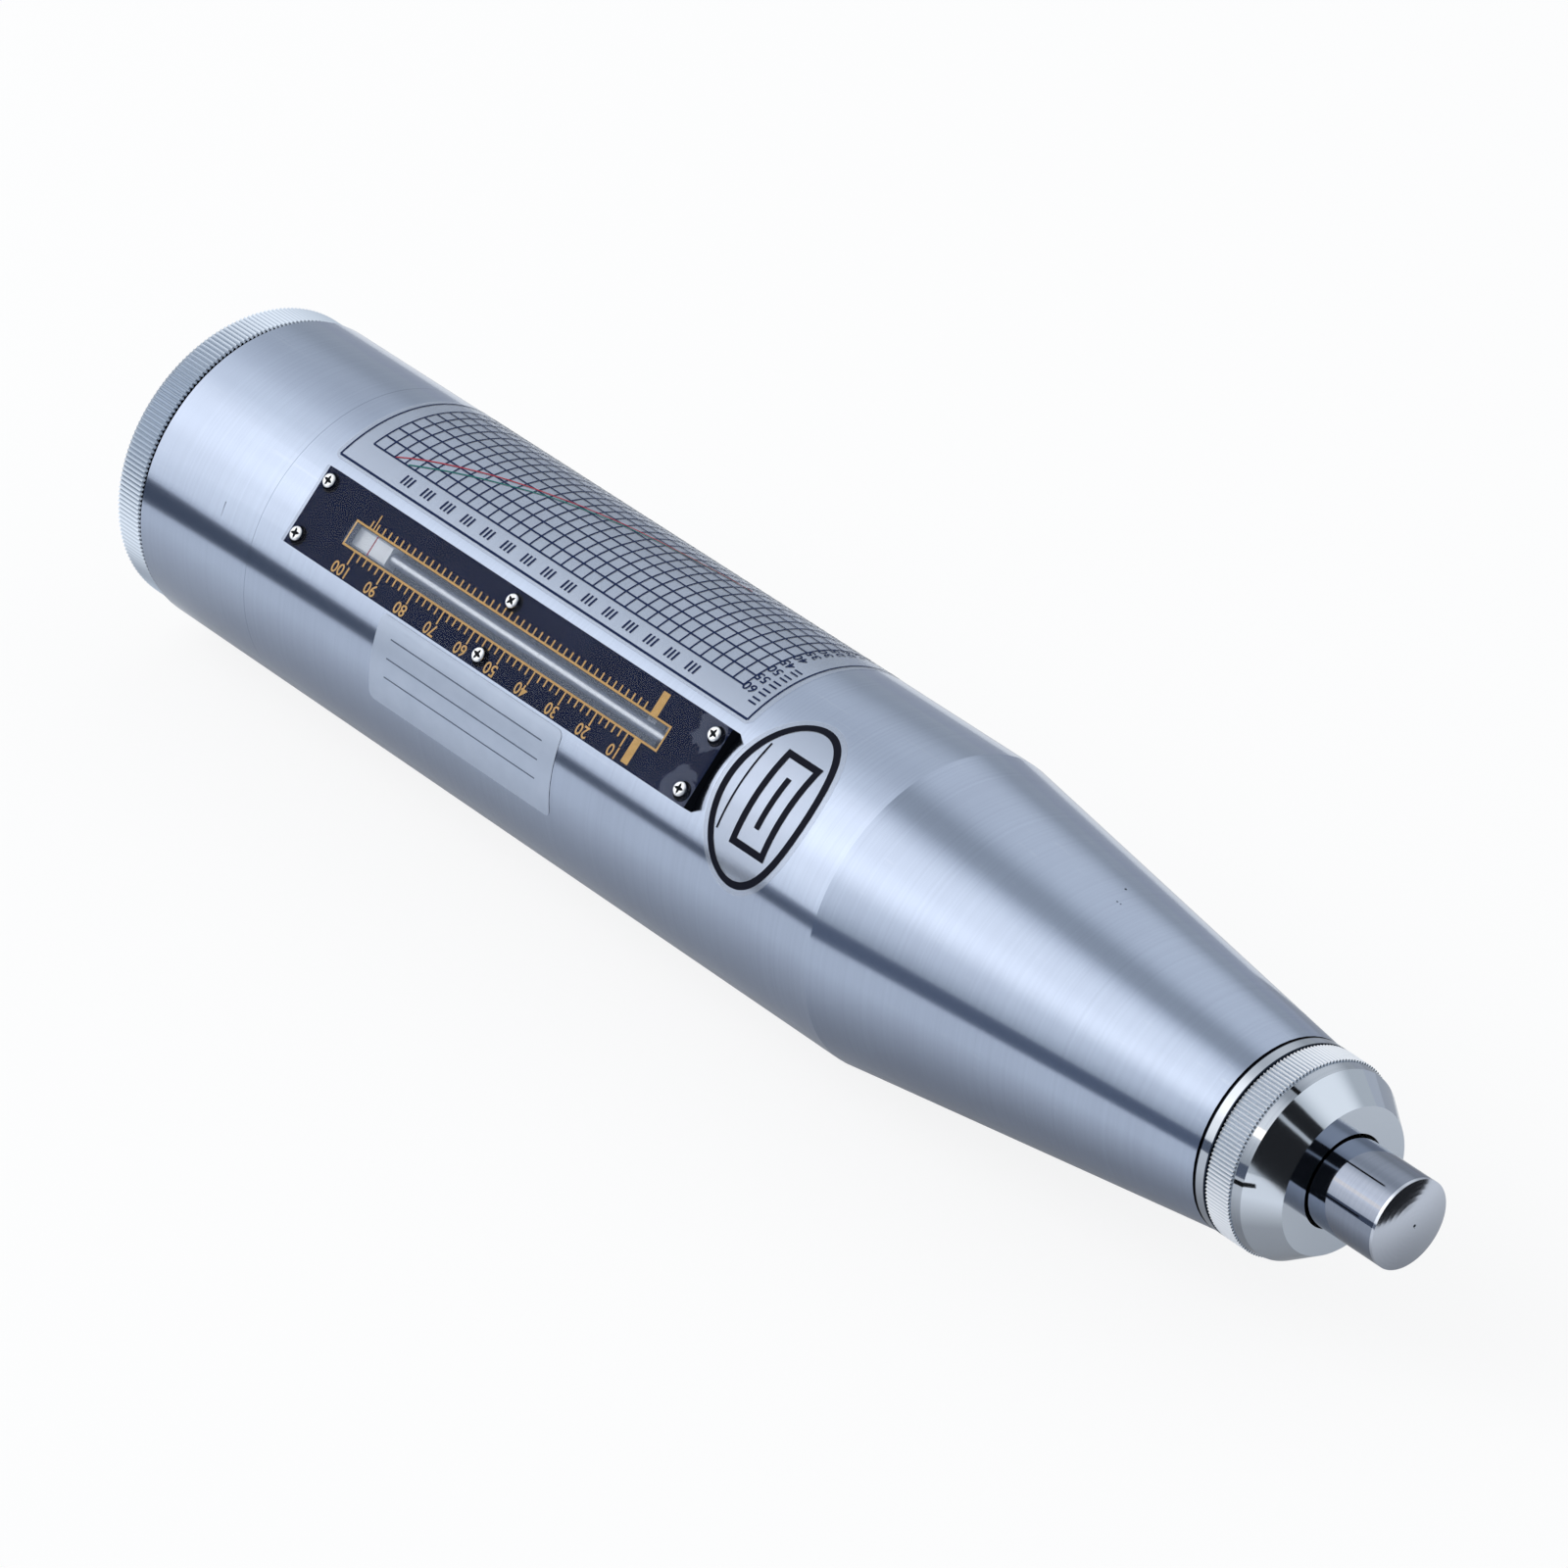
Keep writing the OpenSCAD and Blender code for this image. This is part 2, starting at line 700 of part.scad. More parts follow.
// Guide sleeve of the plunger, with the flange that the impact spring hooks on to
module spring_seat() {
    seat_r = front_bore_r - still_fit;
    guide_r = shank_r + slide_fit;
    x_back = x_seat - seat_sleeve_len;
    color(bright_steel)
        place()
            difference() {
                turned([[guide_r, x_back], [spring_core_r - edge, x_back],
                        [spring_core_r, x_back + edge], [spring_core_r, x_seat],
                        [seat_r, x_seat], [seat_r, x_ring], [guide_r, x_ring]]);
                round_x(impact_wire / 2 + run_gap, x_seat - over, x_seat + leg_depth + fine_edge,
                        impact_r);
            }
}

// Two half rings that hold the seat in the housing
module split_ring() {
    out_r = front_bore_r + ring_grip - still_fit;
    color(dark_steel)
        place()
            difference() {
                round_x(out_r, x_ring + still_fit, x_spigot - still_fit);
                round_x(out_r - ring_width, x_ring - over, x_spigot + over);
                box([x_ring - over, -ring_cut, -out_r - over],
                    [x_spigot + over, ring_cut, out_r + over]);
            }
}

// Hardened plunger with its crowned striking end
module plunger() {
    color(bright_steel)
        place()
            difference() {
                turned(concat([[0, x_plunger], [shank_r - edge, x_plunger],
                               [shank_r, x_plunger + edge], [shank_r, x_land],
                               [plunger_r, x_land]], crown));
                round_x(rod_bore_r, x_plunger - over, x_blind);
            }
}

// Buffer spring between the rod and the bottom of the plunger's bore
module buffer_spring() {
    color(spring_steel)
        place()
            wound(buffer_spring_d / 2, buffer_wire, x_rod1, x_blind, buffer_curls,
                  "buffer_spring");
}

// Knurled cap screwed into the nose of the housing
module nose_cap() {
    root_r = cap_r - knurl_depth;
    spigot_r = front_bore_r - still_fit;
    hole_r = plunger_r + cap_hole_gap;
    step_r = cap_r - edge;
    x_notch = x_knurl0 + notch;
    x_cavity = x_face - cap_front_wall;
    color(bright_steel)
        place()
            difference() {
                union() {
                    knurl(cap_r, root_r, cap_teeth, x_notch, x_knurl1 - fine_edge);
                    turned([[0, x_spigot], [spigot_r - edge, x_spigot], [spigot_r, x_spigot + edge],
                            [spigot_r, x_cone1], [cap_neck_r, x_cone1], [cap_neck_r, x_cap0],
                            [cap_r, x_cap0], [cap_r, x_knurl0],
                            [step_r, x_knurl0], [step_r, x_notch], [root_r, x_notch],
                            [root_r, x_knurl1], [cap_band_r, x_knurl1], [cap_bevel_r, x_bevel0],
                            [cap_face_r, x_face], [0, x_face]]);
                }
                round_x(hole_r, x_spigot - over, x_face + over);
                round_x(felt_r, x_cavity - felt_room, x_cavity);
                round_x(hole_r + cap_relief, x_spigot - over, x_cavity - felt_room + edge);
            }
}

// Felt ring that keeps dust off the plunger
module felt_seal() {
    x_front = x_face - cap_front_wall - still_fit;
    x_back = x_front - felt_t;
    color(felt_grey)
        place()
            difference() {
                round_x(felt_r - still_fit, x_back, x_front);
                round_x(plunger_r + slide_fit, x_back - over, x_front + over);
            }
}

// Saddle plate that carries the printed scale
module scale_plate() {
    color(navy)
        place()
            difference() {
                box([plate_x0, -plate_w / 2, saddle_z], [plate_x1, plate_w / 2, z_pane0]);
                round_x(barrel_r + still_fit, plate_x0 - over, plate_x1 + over);
                box([window_x0, -window_w / 2, saddle_z - over],
                    [window_x1, window_w / 2, z_pane0 + over]);
                screw_holes(saddle_z - over, z_pane0 + over);
            }
}

// Clear cover over the scale
module window_pane() {
    color(clear)
        place()
            difference() {
                box([plate_x0, -plate_w / 2, z_pane0], [plate_x1, plate_w / 2, z_pane1]);
                for (x = screw_xs, side = [-1, 1])
                    round_z(screw_head_r + run_gap, z_pane0 - over, z_pane1 + over, x,
                            side * screw_y);
            }
}

// Six cross-recess screws that hold the scale and its cover, each at its own angle
module scale_screws() {
    color(bright_steel)
        place()
            for (x = screw_xs, side = [-1, 1])
                translate([x, side * screw_y, z_pane0])
                    rotate([0, 0, screw_twist * (x + 2 * side)])
                        scale_screw();
}

// One screw, with its domed head on the plate
module scale_screw() {
    shank_len = z_pane0 - barrel_r + screw_depth;
    dome = [for (i = [0:3])
        [screw_head_r - screw_dome + screw_dome * cos(30 * i),
         screw_head_h - screw_dome + screw_dome * sin(30 * i)]];
    difference() {
        union() {
            rotate_extrude($fn = 48)
                polygon(concat([[0, 0], [screw_head_r, 0]], dome, [[0, screw_head_h]]));
            translate([0, 0, -shank_len])
                cylinder(r = screw_r, h = shank_len + fine_edge, $fn = 48);
        }
        for (a = [0, 90])
            rotate([0, 0, a])
                box([-cross_reach, -cross_half, screw_head_h - cross_depth],
                    [cross_reach, cross_half, screw_head_h + over]);
    }
}

// Bright rod that the rider slides on
module rider_rod() {
    color(bright_steel)
        place()
            round_x(rider_rod_r, slot_x0 + rod_inset, slot_x1 - rod_inset, 0, rod_z);
}

// Block that holds one end of the rider's rod in the slot; the flat end faces the rider
module rod_block(x_round, x_flat) {
    r = slot_r - still_fit;
    x_mid = x_round + sign(x_flat - x_round) * slot_r;
    difference() {
        union() {
            round_z(r, block_z0, block_z1, x_mid);
            box([min(x_mid, x_flat), -r, block_z0], [max(x_mid, x_flat), r, block_z1]);
        }
        round_x(rider_rod_r + still_fit, slot_x0 - over, slot_x1 + over, 0, rod_z);
    }
}

// Rear block of the rider's rod
module rod_block_rear() {
    color(dark_steel)
        place()
            rod_block(slot_x0, slot_x0 + block_rear_len);
}

// Front block of the rider's rod
module rod_block_front() {
    color(dark_steel)
        place()
            rod_block(slot_x1, slot_x1 - block_front_len);
}

// Rider that marks the rebound, with its index line cut across the top
module rider() {
    w = rider_w / 2;
    z_edge = rider_z1 - fine_edge;
    color(matt_silver)
        place()
            difference() {
                translate([x_line - rider_back, 0, 0])
                    rotate([90, 0, 90])
                        linear_extrude(height = rider_len)
                            polygon([[-w, rider_z0], [w, rider_z0], [w, z_edge],
                                     [w - fine_edge, rider_z1], [fine_edge - w, rider_z1],
                                     [-w, z_edge]]);
                round_x(rider_rod_r + slide_fit, x_line - rider_len, x_line + rider_len, 0, rod_z);
                box([x_line - index_w / 2, -rider_w, rider_z1 - index_depth],
                    [x_line + index_w / 2, rider_w, rider_z1 + over]);
            }
}

// Spring leaf under the rider that the mass carries back on the rebound
module rider_leaf() {
    x_end = x_line - pointer_len;
    z_foot = rider_z0 - leaf_t / 2;
    line = [[x_line + leaf_foot_len / 2, z_foot], [x_line - leaf_foot_len / 2, z_foot],
            [x_end + leaf_tip_len, leaf_z], [x_end, leaf_z]];
    lower = [for (i = [0:3]) line[i] - [0, leaf_t / 2]];
    upper = [for (i = [3:-1:0]) line[i] + [0, leaf_t / 2]];
    color(spring_steel)
        place()
            translate([0, leaf_w / 2, 0])
                rotate([90, 0, 0])
                    linear_extrude(height = leaf_w)
                        polygon(concat(lower, upper));
}

// Measures on the lock button run outwards from the tool's axis
module outward() {
    place()
        translate([button_x, 0, 0])
            rotate([180, 0, 0])
                children();
}

// Threaded bush that guides the lock button
module button_bush() {
    color(bright_steel)
        outward()
            difference() {
                union() {
                    translate([0, 0, bush_z0])
                        cylinder(r = bush_r, h = bush_top - bush_z0);
                    difference() {
                        translate([0, 0, saddle_z])
                            cylinder(r = bush_flange_r, h = bush_flange_top - saddle_z);
                        round_x(barrel_r + still_fit, -bush_flange_r - over, bush_flange_r + over);
                    }
                }
                translate([0, 0, bush_z0 - over])
                    cylinder(r = lock_head_r + head_room, h = bush_web0 - bush_z0 + over);
                translate([0, 0, bush_z0])
                    cylinder(r = stem_r + slide_fit, h = bush_top - bush_z0);
                translate([0, 0, bush_web1])
                    cylinder(r = button_r + slide_fit, h = bush_top - bush_web1 + over);
            }
}

// Button cap, hollow for its spring
module lock_button() {
    color(bright_steel)
        outward()
            difference() {
                rotate_extrude()
                    polygon([[0, cap_z0], [button_r, cap_z0], [button_r, button_top - button_edge],
                             [button_r - button_edge, button_top], [0, button_top]]);
                translate([0, 0, cap_z0 - over])
                    cylinder(r = button_r - button_shell, h = cap_roof - cap_z0 + over);
                translate([0, 0, cap_roof - over])
                    cylinder(r = stem_r + still_fit, h = stem_z1 - cap_roof + over + still_fit);
            }
}

// Locking pin: pressed in, its head stands in front of the guide flange
module lock_pin() {
    color(dark_steel)
        outward()
            rotate_extrude()
                polygon([[0, head_z0], [lock_head_r - fine_edge, head_z0],
                         [lock_head_r, head_z0 + fine_edge], [lock_head_r, head_z1],
                         [stem_r, head_z1], [stem_r, stem_z1], [0, stem_z1]]);
}

// Spring that lifts the button
module button_spring() {
    color(spring_steel)
        outward()
            rotate([0, -90, 0])
                wound(button_spring_d / 2, button_wire, bush_web1, cap_roof, button_curls,
                      "button_spring");
}

housing();
rear_cover();
trip_screw();
trip_lock_nut();
pressure_spring();
guide_flange();
guide_rod();
pawl();
pawl_pin();
pawl_spring();
hammer_mass();
impact_spring();
spring_seat();
split_ring();
plunger();
buffer_spring();
nose_cap();
felt_seal();
scale_plate();
window_pane();
scale_screws();
rider_rod();
rod_block_rear();
rod_block_front();
rider();
rider_leaf();
button_bush();
lock_button();
lock_pin();
button_spring();
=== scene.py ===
import bpy
from math import cos, pi, radians, sin, sqrt
from mathutils import Matrix, Vector


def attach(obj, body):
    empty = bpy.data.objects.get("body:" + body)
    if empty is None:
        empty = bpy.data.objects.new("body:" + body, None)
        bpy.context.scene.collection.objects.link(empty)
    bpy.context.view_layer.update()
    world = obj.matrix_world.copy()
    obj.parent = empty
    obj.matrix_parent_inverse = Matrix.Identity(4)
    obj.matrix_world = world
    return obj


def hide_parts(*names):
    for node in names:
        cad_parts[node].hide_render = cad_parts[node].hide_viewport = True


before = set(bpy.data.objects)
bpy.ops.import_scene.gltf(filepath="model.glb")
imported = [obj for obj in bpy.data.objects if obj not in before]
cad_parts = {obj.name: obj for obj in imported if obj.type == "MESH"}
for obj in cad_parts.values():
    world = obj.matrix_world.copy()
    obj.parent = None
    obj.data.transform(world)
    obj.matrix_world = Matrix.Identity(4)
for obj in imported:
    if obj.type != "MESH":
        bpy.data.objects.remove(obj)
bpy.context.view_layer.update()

# Camera at the photograph's viewing angle: a long lens from the front left, looking down on
# the scale. Its place was fitted to the edges and circles of the hammer.
camera_data = bpy.data.cameras.new("photo_camera")
camera_data.lens = 218.4
camera_data.sensor_width = 36
camera_data.clip_start = 0.1
camera_data.clip_end = 20
camera = bpy.data.objects.new("photo_camera", camera_data)
bpy.context.scene.collection.objects.link(camera)
camera_right = Vector((0.65120, 0.75890, -0.00430))
camera_up = Vector((-0.42892, 0.37270, 0.82287))
camera_back = camera_right.cross(camera_up)
camera_turn = Matrix((camera_right, camera_up, camera_back)).transposed().to_4x4()
camera.matrix_world = Matrix.Translation((0.92189, -0.78847, 0.87115)) @ camera_turn
bpy.context.scene.camera = camera


def add_node(tree, kind, links=(), **settings):
    """Adds one shader node, gives it its settings, and links sockets into its inputs."""
    node = tree.nodes.new(kind)
    inputs = settings.pop("inputs", {})
    for name, value in settings.items():
        setattr(node, name, value)
    for name, value in inputs.items():
        node.inputs[name].default_value = value
    for source, name in links:
        tree.links.new(source, node.inputs[name])
    return node


def colour(code):
    """Turns an sRGB hex colour into the linear colour that a shader takes."""
    parts = [int(code[i:i + 2], 16) / 255 for i in (1, 3, 5)]
    return tuple(c / 12.92 if c <= 0.04045 else ((c + 0.055) / 1.055) ** 2.4 for c in parts) + (1,)


# Studio light: a pale room with a broad soft window behind the left shoulder and a weaker
# glow on the far side. The metal shows it all.
world = bpy.data.worlds.new("studio")
bpy.context.scene.world = world
world.use_nodes = True
sky = world.node_tree
sky.nodes.clear()
toward = add_node(sky, "ShaderNodeTexCoord")


def glow_toward(azimuth, elevation, inner, outer, strength):
    """A soft round patch of the sky, full within one angle and gone past the other, in degrees."""
    a, e = radians(azimuth), radians(elevation)
    facing = add_node(sky, "ShaderNodeVectorMath", [(toward.outputs["Generated"], 0)],
                      operation="DOT_PRODUCT")
    facing.inputs[1].default_value = (cos(a) * cos(e), sin(a) * cos(e), sin(e))
    return add_node(sky, "ShaderNodeMapRange", [(facing.outputs["Value"], "Value")],
                    interpolation_type="SMOOTHSTEP",
                    inputs={"From Min": cos(radians(outer)), "From Max": cos(radians(inner)),
                            "To Min": 0, "To Max": strength}).outputs["Result"]


ROOM_LIGHT, FULL_LIGHT = 0.57, 1.7
light = glow_toward(-160, 19, 30, 52, 0.72)
for lobe in ((-124, 26, 1, 25, 0.34), (-130, 50, 2, 30, 0.70), (119, 44, 0, 32, 0.42),
             (50, 46, 10, 34, 0.45)):
    total = add_node(sky, "ShaderNodeMath", [(light, 0), (glow_toward(*lobe), 1)],
                     operation="ADD")
    light = total.outputs[0]
level = add_node(sky, "ShaderNodeMath", [(light, 0)], operation="ADD")
level.inputs[1].default_value = ROOM_LIGHT
warmth = add_node(sky, "ShaderNodeMapRange", [(level.outputs[0], "Value")],
                  inputs={"From Min": ROOM_LIGHT, "From Max": FULL_LIGHT,
                          "To Min": 0.0, "To Max": 1.0})
tint = add_node(sky, "ShaderNodeMix", [(warmth.outputs["Result"], "Factor")], data_type="RGBA")
tint.inputs["A"].default_value = colour("#F4FAFF")
tint.inputs["B"].default_value = colour("#FFFDFA")
room = add_node(sky, "ShaderNodeBackground", [(level.outputs[0], "Strength"),
                                              (tint.outputs["Result"], "Color")])
# Past the edge of the floor the camera sees the same pale ground.
behind = add_node(sky, "ShaderNodeBackground",
                  inputs={"Color": colour("#FDFEFF"), "Strength": 1.0})
seen = add_node(sky, "ShaderNodeMixShader",
                [(add_node(sky, "ShaderNodeLightPath").outputs["Is Camera Ray"], 0),
                 (room.outputs[0], 1), (behind.outputs[0], 2)])
add_node(sky, "ShaderNodeOutputWorld", [(seen.outputs[0], "Surface")])

# The window itself is a soft box, which gives the floor its soft shadow.
window_data = bpy.data.lights.new("window", "AREA")
window_data.shape = "DISK"
window_data.size = 0.9
window_data.energy = 6
window = bpy.data.objects.new("window", window_data)
bpy.context.scene.collection.objects.link(window)
WINDOW_AWAY = 1.7
a, e = radians(-142), radians(40)
window.location = Vector((cos(a) * cos(e), sin(a) * cos(e), sin(e))) * WINDOW_AWAY
window.rotation_euler = window.location.to_track_quat("Z", "Y").to_euler()
window.visible_glossy = False


def card(name, x0, y0, x1, y1, z0, z1, strength, foot=0, lean=0, code="#EEF4FF"):
    """A card that only the metal shows: the ends of its foot and the heights of its two top
    corners in metres, then its brightness. It is upright unless it leans."""
    bpy.ops.object.select_all(action="DESELECT")
    bpy.ops.mesh.primitive_plane_add(size=1, location=(0, 0, 0))
    piece = bpy.context.object
    piece.name = name
    foot_and_top = ((x0, y0, foot), (x1, y1, foot), (x0, y0 + lean, z0),
                    (x1, y1 + lean, z1))
    for vertex, place in zip(piece.data.vertices, foot_and_top):
        vertex.co = place
    face = bpy.data.materials.new(name)
    face.use_nodes = True
    face.node_tree.nodes.clear()
    paper = add_node(face.node_tree, "ShaderNodeEmission",
                     inputs={"Color": colour(code), "Strength": strength})
    add_node(face.node_tree, "ShaderNodeOutputMaterial", [(paper.outputs[0], "Surface")])
    piece.data.materials.append(face)
    piece.visible_camera = False
    piece.visible_shadow = False
    piece.visible_diffuse = False
    piece.visible_transmission = False


# Cards stand out of the picture, as flags do in a studio. Low ones draw the dark line along the
# lower side, a grey one quiets the far side, and two tall ones darken the near half of the cap's
# bevel. Small ones draw the lines along the plunger and the black crescent on its tip.
card("black_card_left", -0.222, -0.076, -0.137, -0.235, 0.031, 0.026, 0.15, code="#CFE0FF")
card("black_card_near", -0.16, -0.241, 0.16, -0.241, 0.040, 0.072, 0.23, code="#CFE0FF")
card("grey_card_far", -0.60, 0.16, 0.60, 0.16, 0.056, 0.056, 0.55)
card("black_card_nose_left", 0.163, -0.091, 0.2063, -0.0665, 0.30, 0.30, 0.02)
card("black_card_nose_right", 0.2156, -0.0612, 0.345, 0.012, 0.30, 0.42, 0.02)
card("grey_card_nose", 0.060, 0.062, 0.150, 0.062, 0.030, 0.030, 0.45)
card("black_card_crescent", 0.184, -0.006, 0.190, 0.080, 0.036, 0.036, 0.02, 0.008)
card("bright_card_line", 0.110, -0.022, 0.124, -0.022, 0.0500, 0.0500, 2.4, 0.0447, code="#FFF4E6")
card("black_card_line_low", 0.110, -0.022, 0.124, -0.022, 0.0300, 0.0300, 0.01, 0.0287)
card("black_card_line_high", 0.1095, -0.0037, 0.1195, -0.0037, 0.0571, 0.0571, 0.01, 0.0570, 0.002)

# Floor: pale board. Its white comes from its own colour, seen by the camera and less strongly
# by the metal, and it keeps the hammer's shadow. The metal shows it darker straight below,
# as it does a board with a dull gloss.
bpy.ops.object.select_all(action="DESELECT")
FLOOR_SIZE, FLOOR_GAP, CAMERA_SHARE, MIRROR_SHARE = 4, 0.0004, 0.86, 0.1
bpy.ops.mesh.primitive_plane_add(size=FLOOR_SIZE, location=(0, 0, -FLOOR_GAP))
floor = bpy.context.object
floor.name = "floor"
bpy.ops.object.transform_apply(location=True, rotation=True, scale=True)
board = bpy.data.materials.new("matt_white_board")
board.use_nodes = True
tree = board.node_tree
tree.nodes.clear()
glow = add_node(tree, "ShaderNodeEmission", inputs={"Color": colour("#FFFFFF"), "Strength": 1.0})
path = add_node(tree, "ShaderNodeLightPath")
mirrored = add_node(tree, "ShaderNodeMath", [(path.outputs["Is Glossy Ray"], 0),
                                             (path.outputs["Is Transmission Ray"], 1)],
                    operation="ADD")
mirrored_share = add_node(tree, "ShaderNodeMath", [(mirrored.outputs[0], 0)],
                          operation="MULTIPLY")
mirrored_share.inputs[1].default_value = MIRROR_SHARE
slant = add_node(tree, "ShaderNodeLayerWeight", inputs={"Blend": 0.5})
steep = add_node(tree, "ShaderNodeMapRange", [(slant.outputs["Facing"], "Value")],
                 inputs={"From Min": 0.15, "From Max": 0.6, "To Min": 0.60, "To Max": 0.0})
below = add_node(tree, "ShaderNodeMath", [(steep.outputs["Result"], 0), (mirrored.outputs[0], 1)],
                 operation="MULTIPLY")
paper = add_node(tree, "ShaderNodeMix", [(below.outputs[0], "Factor")], data_type="RGBA")
paper.inputs["A"].default_value = colour("#F2F3F5")
paper.inputs["B"].default_value = colour("#30353E")
matt = add_node(tree, "ShaderNodeBsdfDiffuse", [(paper.outputs["Result"], "Color")])
share = add_node(tree, "ShaderNodeMath", [(path.outputs["Is Camera Ray"], 0),
                                          (mirrored_share.outputs[0], 2)],
                 operation="MULTIPLY_ADD")
share.inputs[1].default_value = CAMERA_SHARE
blend = add_node(tree, "ShaderNodeMixShader", [(share.outputs[0], 0), (matt.outputs[0], 1),
                                               (glow.outputs[0], 2)])
add_node(tree, "ShaderNodeOutputMaterial", [(blend.outputs[0], "Surface")])
floor.data.materials.append(board)


# Housing: barrel and taper in one tube of clear anodised aluminium, turned and then finely
# brushed round the tube, which leaves faint rings and a soft sheen. Everything screws into it.
BARREL_R = 27.0
HALF_LENGTH = 139.0
AXIS_Z = BARREL_R / 1000
CONE_U, CAP_U, CONE_LENGTH, CONE_DROP = 172.7, 248.05, 75.4, 10.5


def station(u):
    """A station of the hammer, in mm from the tail, as metres along the frame."""
    return (u - HALF_LENGTH) / 1000


def tool_point(u, across, out):
    """A point of the hammer, in mm from the tail, across the scale and out through it."""
    return Vector((station(u), (across - out) / sqrt(2) / 1000,
                   ((across + out) / sqrt(2) + BARREL_R) / 1000))


def new_material(name):
    """An empty material with its Principled shader and output."""
    material = bpy.data.materials.new(name)
    material.use_nodes = True
    tree = material.node_tree
    tree.nodes.clear()
    shader = add_node(tree, "ShaderNodeBsdfPrincipled")
    add_node(tree, "ShaderNodeOutputMaterial", [(shader.outputs[0], "Surface")])
    return material, tree, shader


def place_on(tree, scale, turn=0.0, offset=(0, 0, 0)):
    """Object coordinates with a pattern's repeats per metre along, across and through."""
    coords = add_node(tree, "ShaderNodeTexCoord")
    return add_node(tree, "ShaderNodeMapping", [(coords.outputs["Object"], "Vector")],
                    inputs={"Scale": scale, "Rotation": (turn, 0, 0), "Location": offset})


def dress(names, material):
    """Gives CAD nodes one material."""
    for name in names:
        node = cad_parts[name]
        node.data.materials.clear()
        node.data.materials.append(material)


def rings_and_clouds(tree, shader, light_code, dark_code, rough, ring_pitch, depth):
    """Turned metal: fine rings round the axis, softly clouded, in colour, sheen and relief."""
    rings = add_node(tree, "ShaderNodeTexNoise",
                     [(place_on(tree, (1 / ring_pitch, 14, 14)).outputs[0], "Vector")],
                     inputs={"Scale": 1.0, "Detail": 4.0, "Roughness": 0.62})
    clouds = add_node(tree, "ShaderNodeTexNoise",
                      [(place_on(tree, (42, 60, 60)).outputs[0], "Vector")],
                      inputs={"Scale": 1.0, "Detail": 5.0, "Roughness": 0.55})
    both = add_node(tree, "ShaderNodeMath",
                    [(rings.outputs["Fac"], 0), (clouds.outputs["Fac"], 1)], operation="ADD")
    tint = add_node(tree, "ShaderNodeMapRange", [(both.outputs[0], "Value")],
                    inputs={"From Min": 0.7, "From Max": 1.3, "To Min": 0.0, "To Max": 1.0})
    shade = add_node(tree, "ShaderNodeMix", [(tint.outputs["Result"], "Factor")], data_type="RGBA")
    shade.inputs["A"].default_value = colour(dark_code)
    shade.inputs["B"].default_value = colour(light_code)
    sheen = add_node(tree, "ShaderNodeMapRange", [(both.outputs[0], "Value")],
                     inputs={"From Min": 0.7, "From Max": 1.3, "To Min": rough * 1.08,
                             "To Max": rough * 0.94})
    relief = add_node(tree, "ShaderNodeBump", [(rings.outputs["Fac"], "Height")],
                      inputs={"Strength": 1.0, "Distance": depth})
    tree.links.new(sheen.outputs["Result"], shader.inputs["Roughness"])
    tree.links.new(relief.outputs["Normal"], shader.inputs["Normal"])
    shader.inputs["Metallic"].default_value = 1.0
    return shade


anodised, tree, shader = new_material("clear_anodised_aluminium")
shade = rings_and_clouds(tree, shader, "#ADB9CE", "#A6B1C6", 0.14, 0.00045, 0.00000012)
# Long handling scratches, drawn wider than real ones so that they show.
scratch = add_node(tree, "ShaderNodeTexNoise",
                   [(place_on(tree, (38, 1500, 1500), 0.4, (0.3, 0, 0)).outputs[0], "Vector")],
                   inputs={"Scale": 1.0, "Detail": 1.0})
scratched = add_node(tree, "ShaderNodeMapRange", [(scratch.outputs["Fac"], "Value")],
                     inputs={"From Min": 0.70, "From Max": 0.76, "To Min": 0.0, "To Max": 0.10})
marked = add_node(tree, "ShaderNodeMix", [(scratched.outputs["Result"], "Factor"),
                                          (shade.outputs["Result"], "A")], data_type="RGBA")
marked.inputs["B"].default_value = colour("#C8D0DA")
# One fine line is scribed round the barrel behind the scale plate.
along = add_node(tree, "ShaderNodeSeparateXYZ",
                 [(add_node(tree, "ShaderNodeTexCoord").outputs["Object"], "Vector")])
scribed = add_node(tree, "ShaderNodeMath", [(along.outputs["X"], 0)], operation="COMPARE")
scribed.inputs[1].default_value = station(34.6)
scribed.inputs[2].default_value = 0.00007
finish = add_node(tree, "ShaderNodeMix", [(scribed.outputs[0], "Factor"),
                                          (marked.outputs["Result"], "A")], data_type="RGBA")
finish.inputs["B"].default_value = colour("#8A96AA")
# The housing's end in the joint with the nose cap is painted dark as the shade in the gap. A short
# scratch and three specks mark the skin.
coords = add_node(tree, "ShaderNodeTexCoord")
joint = add_node(tree, "ShaderNodeMath", [(along.outputs["X"], 0)], operation="GREATER_THAN")
joint.inputs[1].default_value = station(CAP_U)
flaws_and_joint_shade = joint.outputs[0]
SPECKS = ((208.8, 59.5, 0.22), (210.7, 50.4, 0.16), (211.4, 50.6, 0.13))
SCRATCH = ((26.15, -15.5, 0.13), (26.16, -16.1, 0.11), (26.17, -16.7, 0.11),
           (26.18, -17.3, 0.10), (26.19, -17.9, 0.10), (26.2, -18.5, 0.09),
           (26.2, -19.1, 0.09), (26.2, -19.7, 0.08), (26.2, -20.3, 0.08))
for u, phi, size in SPECKS + SCRATCH:
    skin = BARREL_R - max(u - CONE_U, 0) * CONE_DROP / CONE_LENGTH
    spot = add_node(tree, "ShaderNodeVectorMath", [(coords.outputs["Object"], 0)],
                    operation="DISTANCE")
    a = radians(phi)
    spot.inputs[1].default_value = tool_point(u, skin * sin(a), skin * cos(a))
    near = add_node(tree, "ShaderNodeMath", [(spot.outputs["Value"], 0)], operation="LESS_THAN")
    near.inputs[1].default_value = size / 1000
    flaws_and_joint_shade = add_node(tree, "ShaderNodeMath", [(flaws_and_joint_shade, 0), (near.outputs[0], 1)],
                     operation="MAXIMUM").outputs[0]
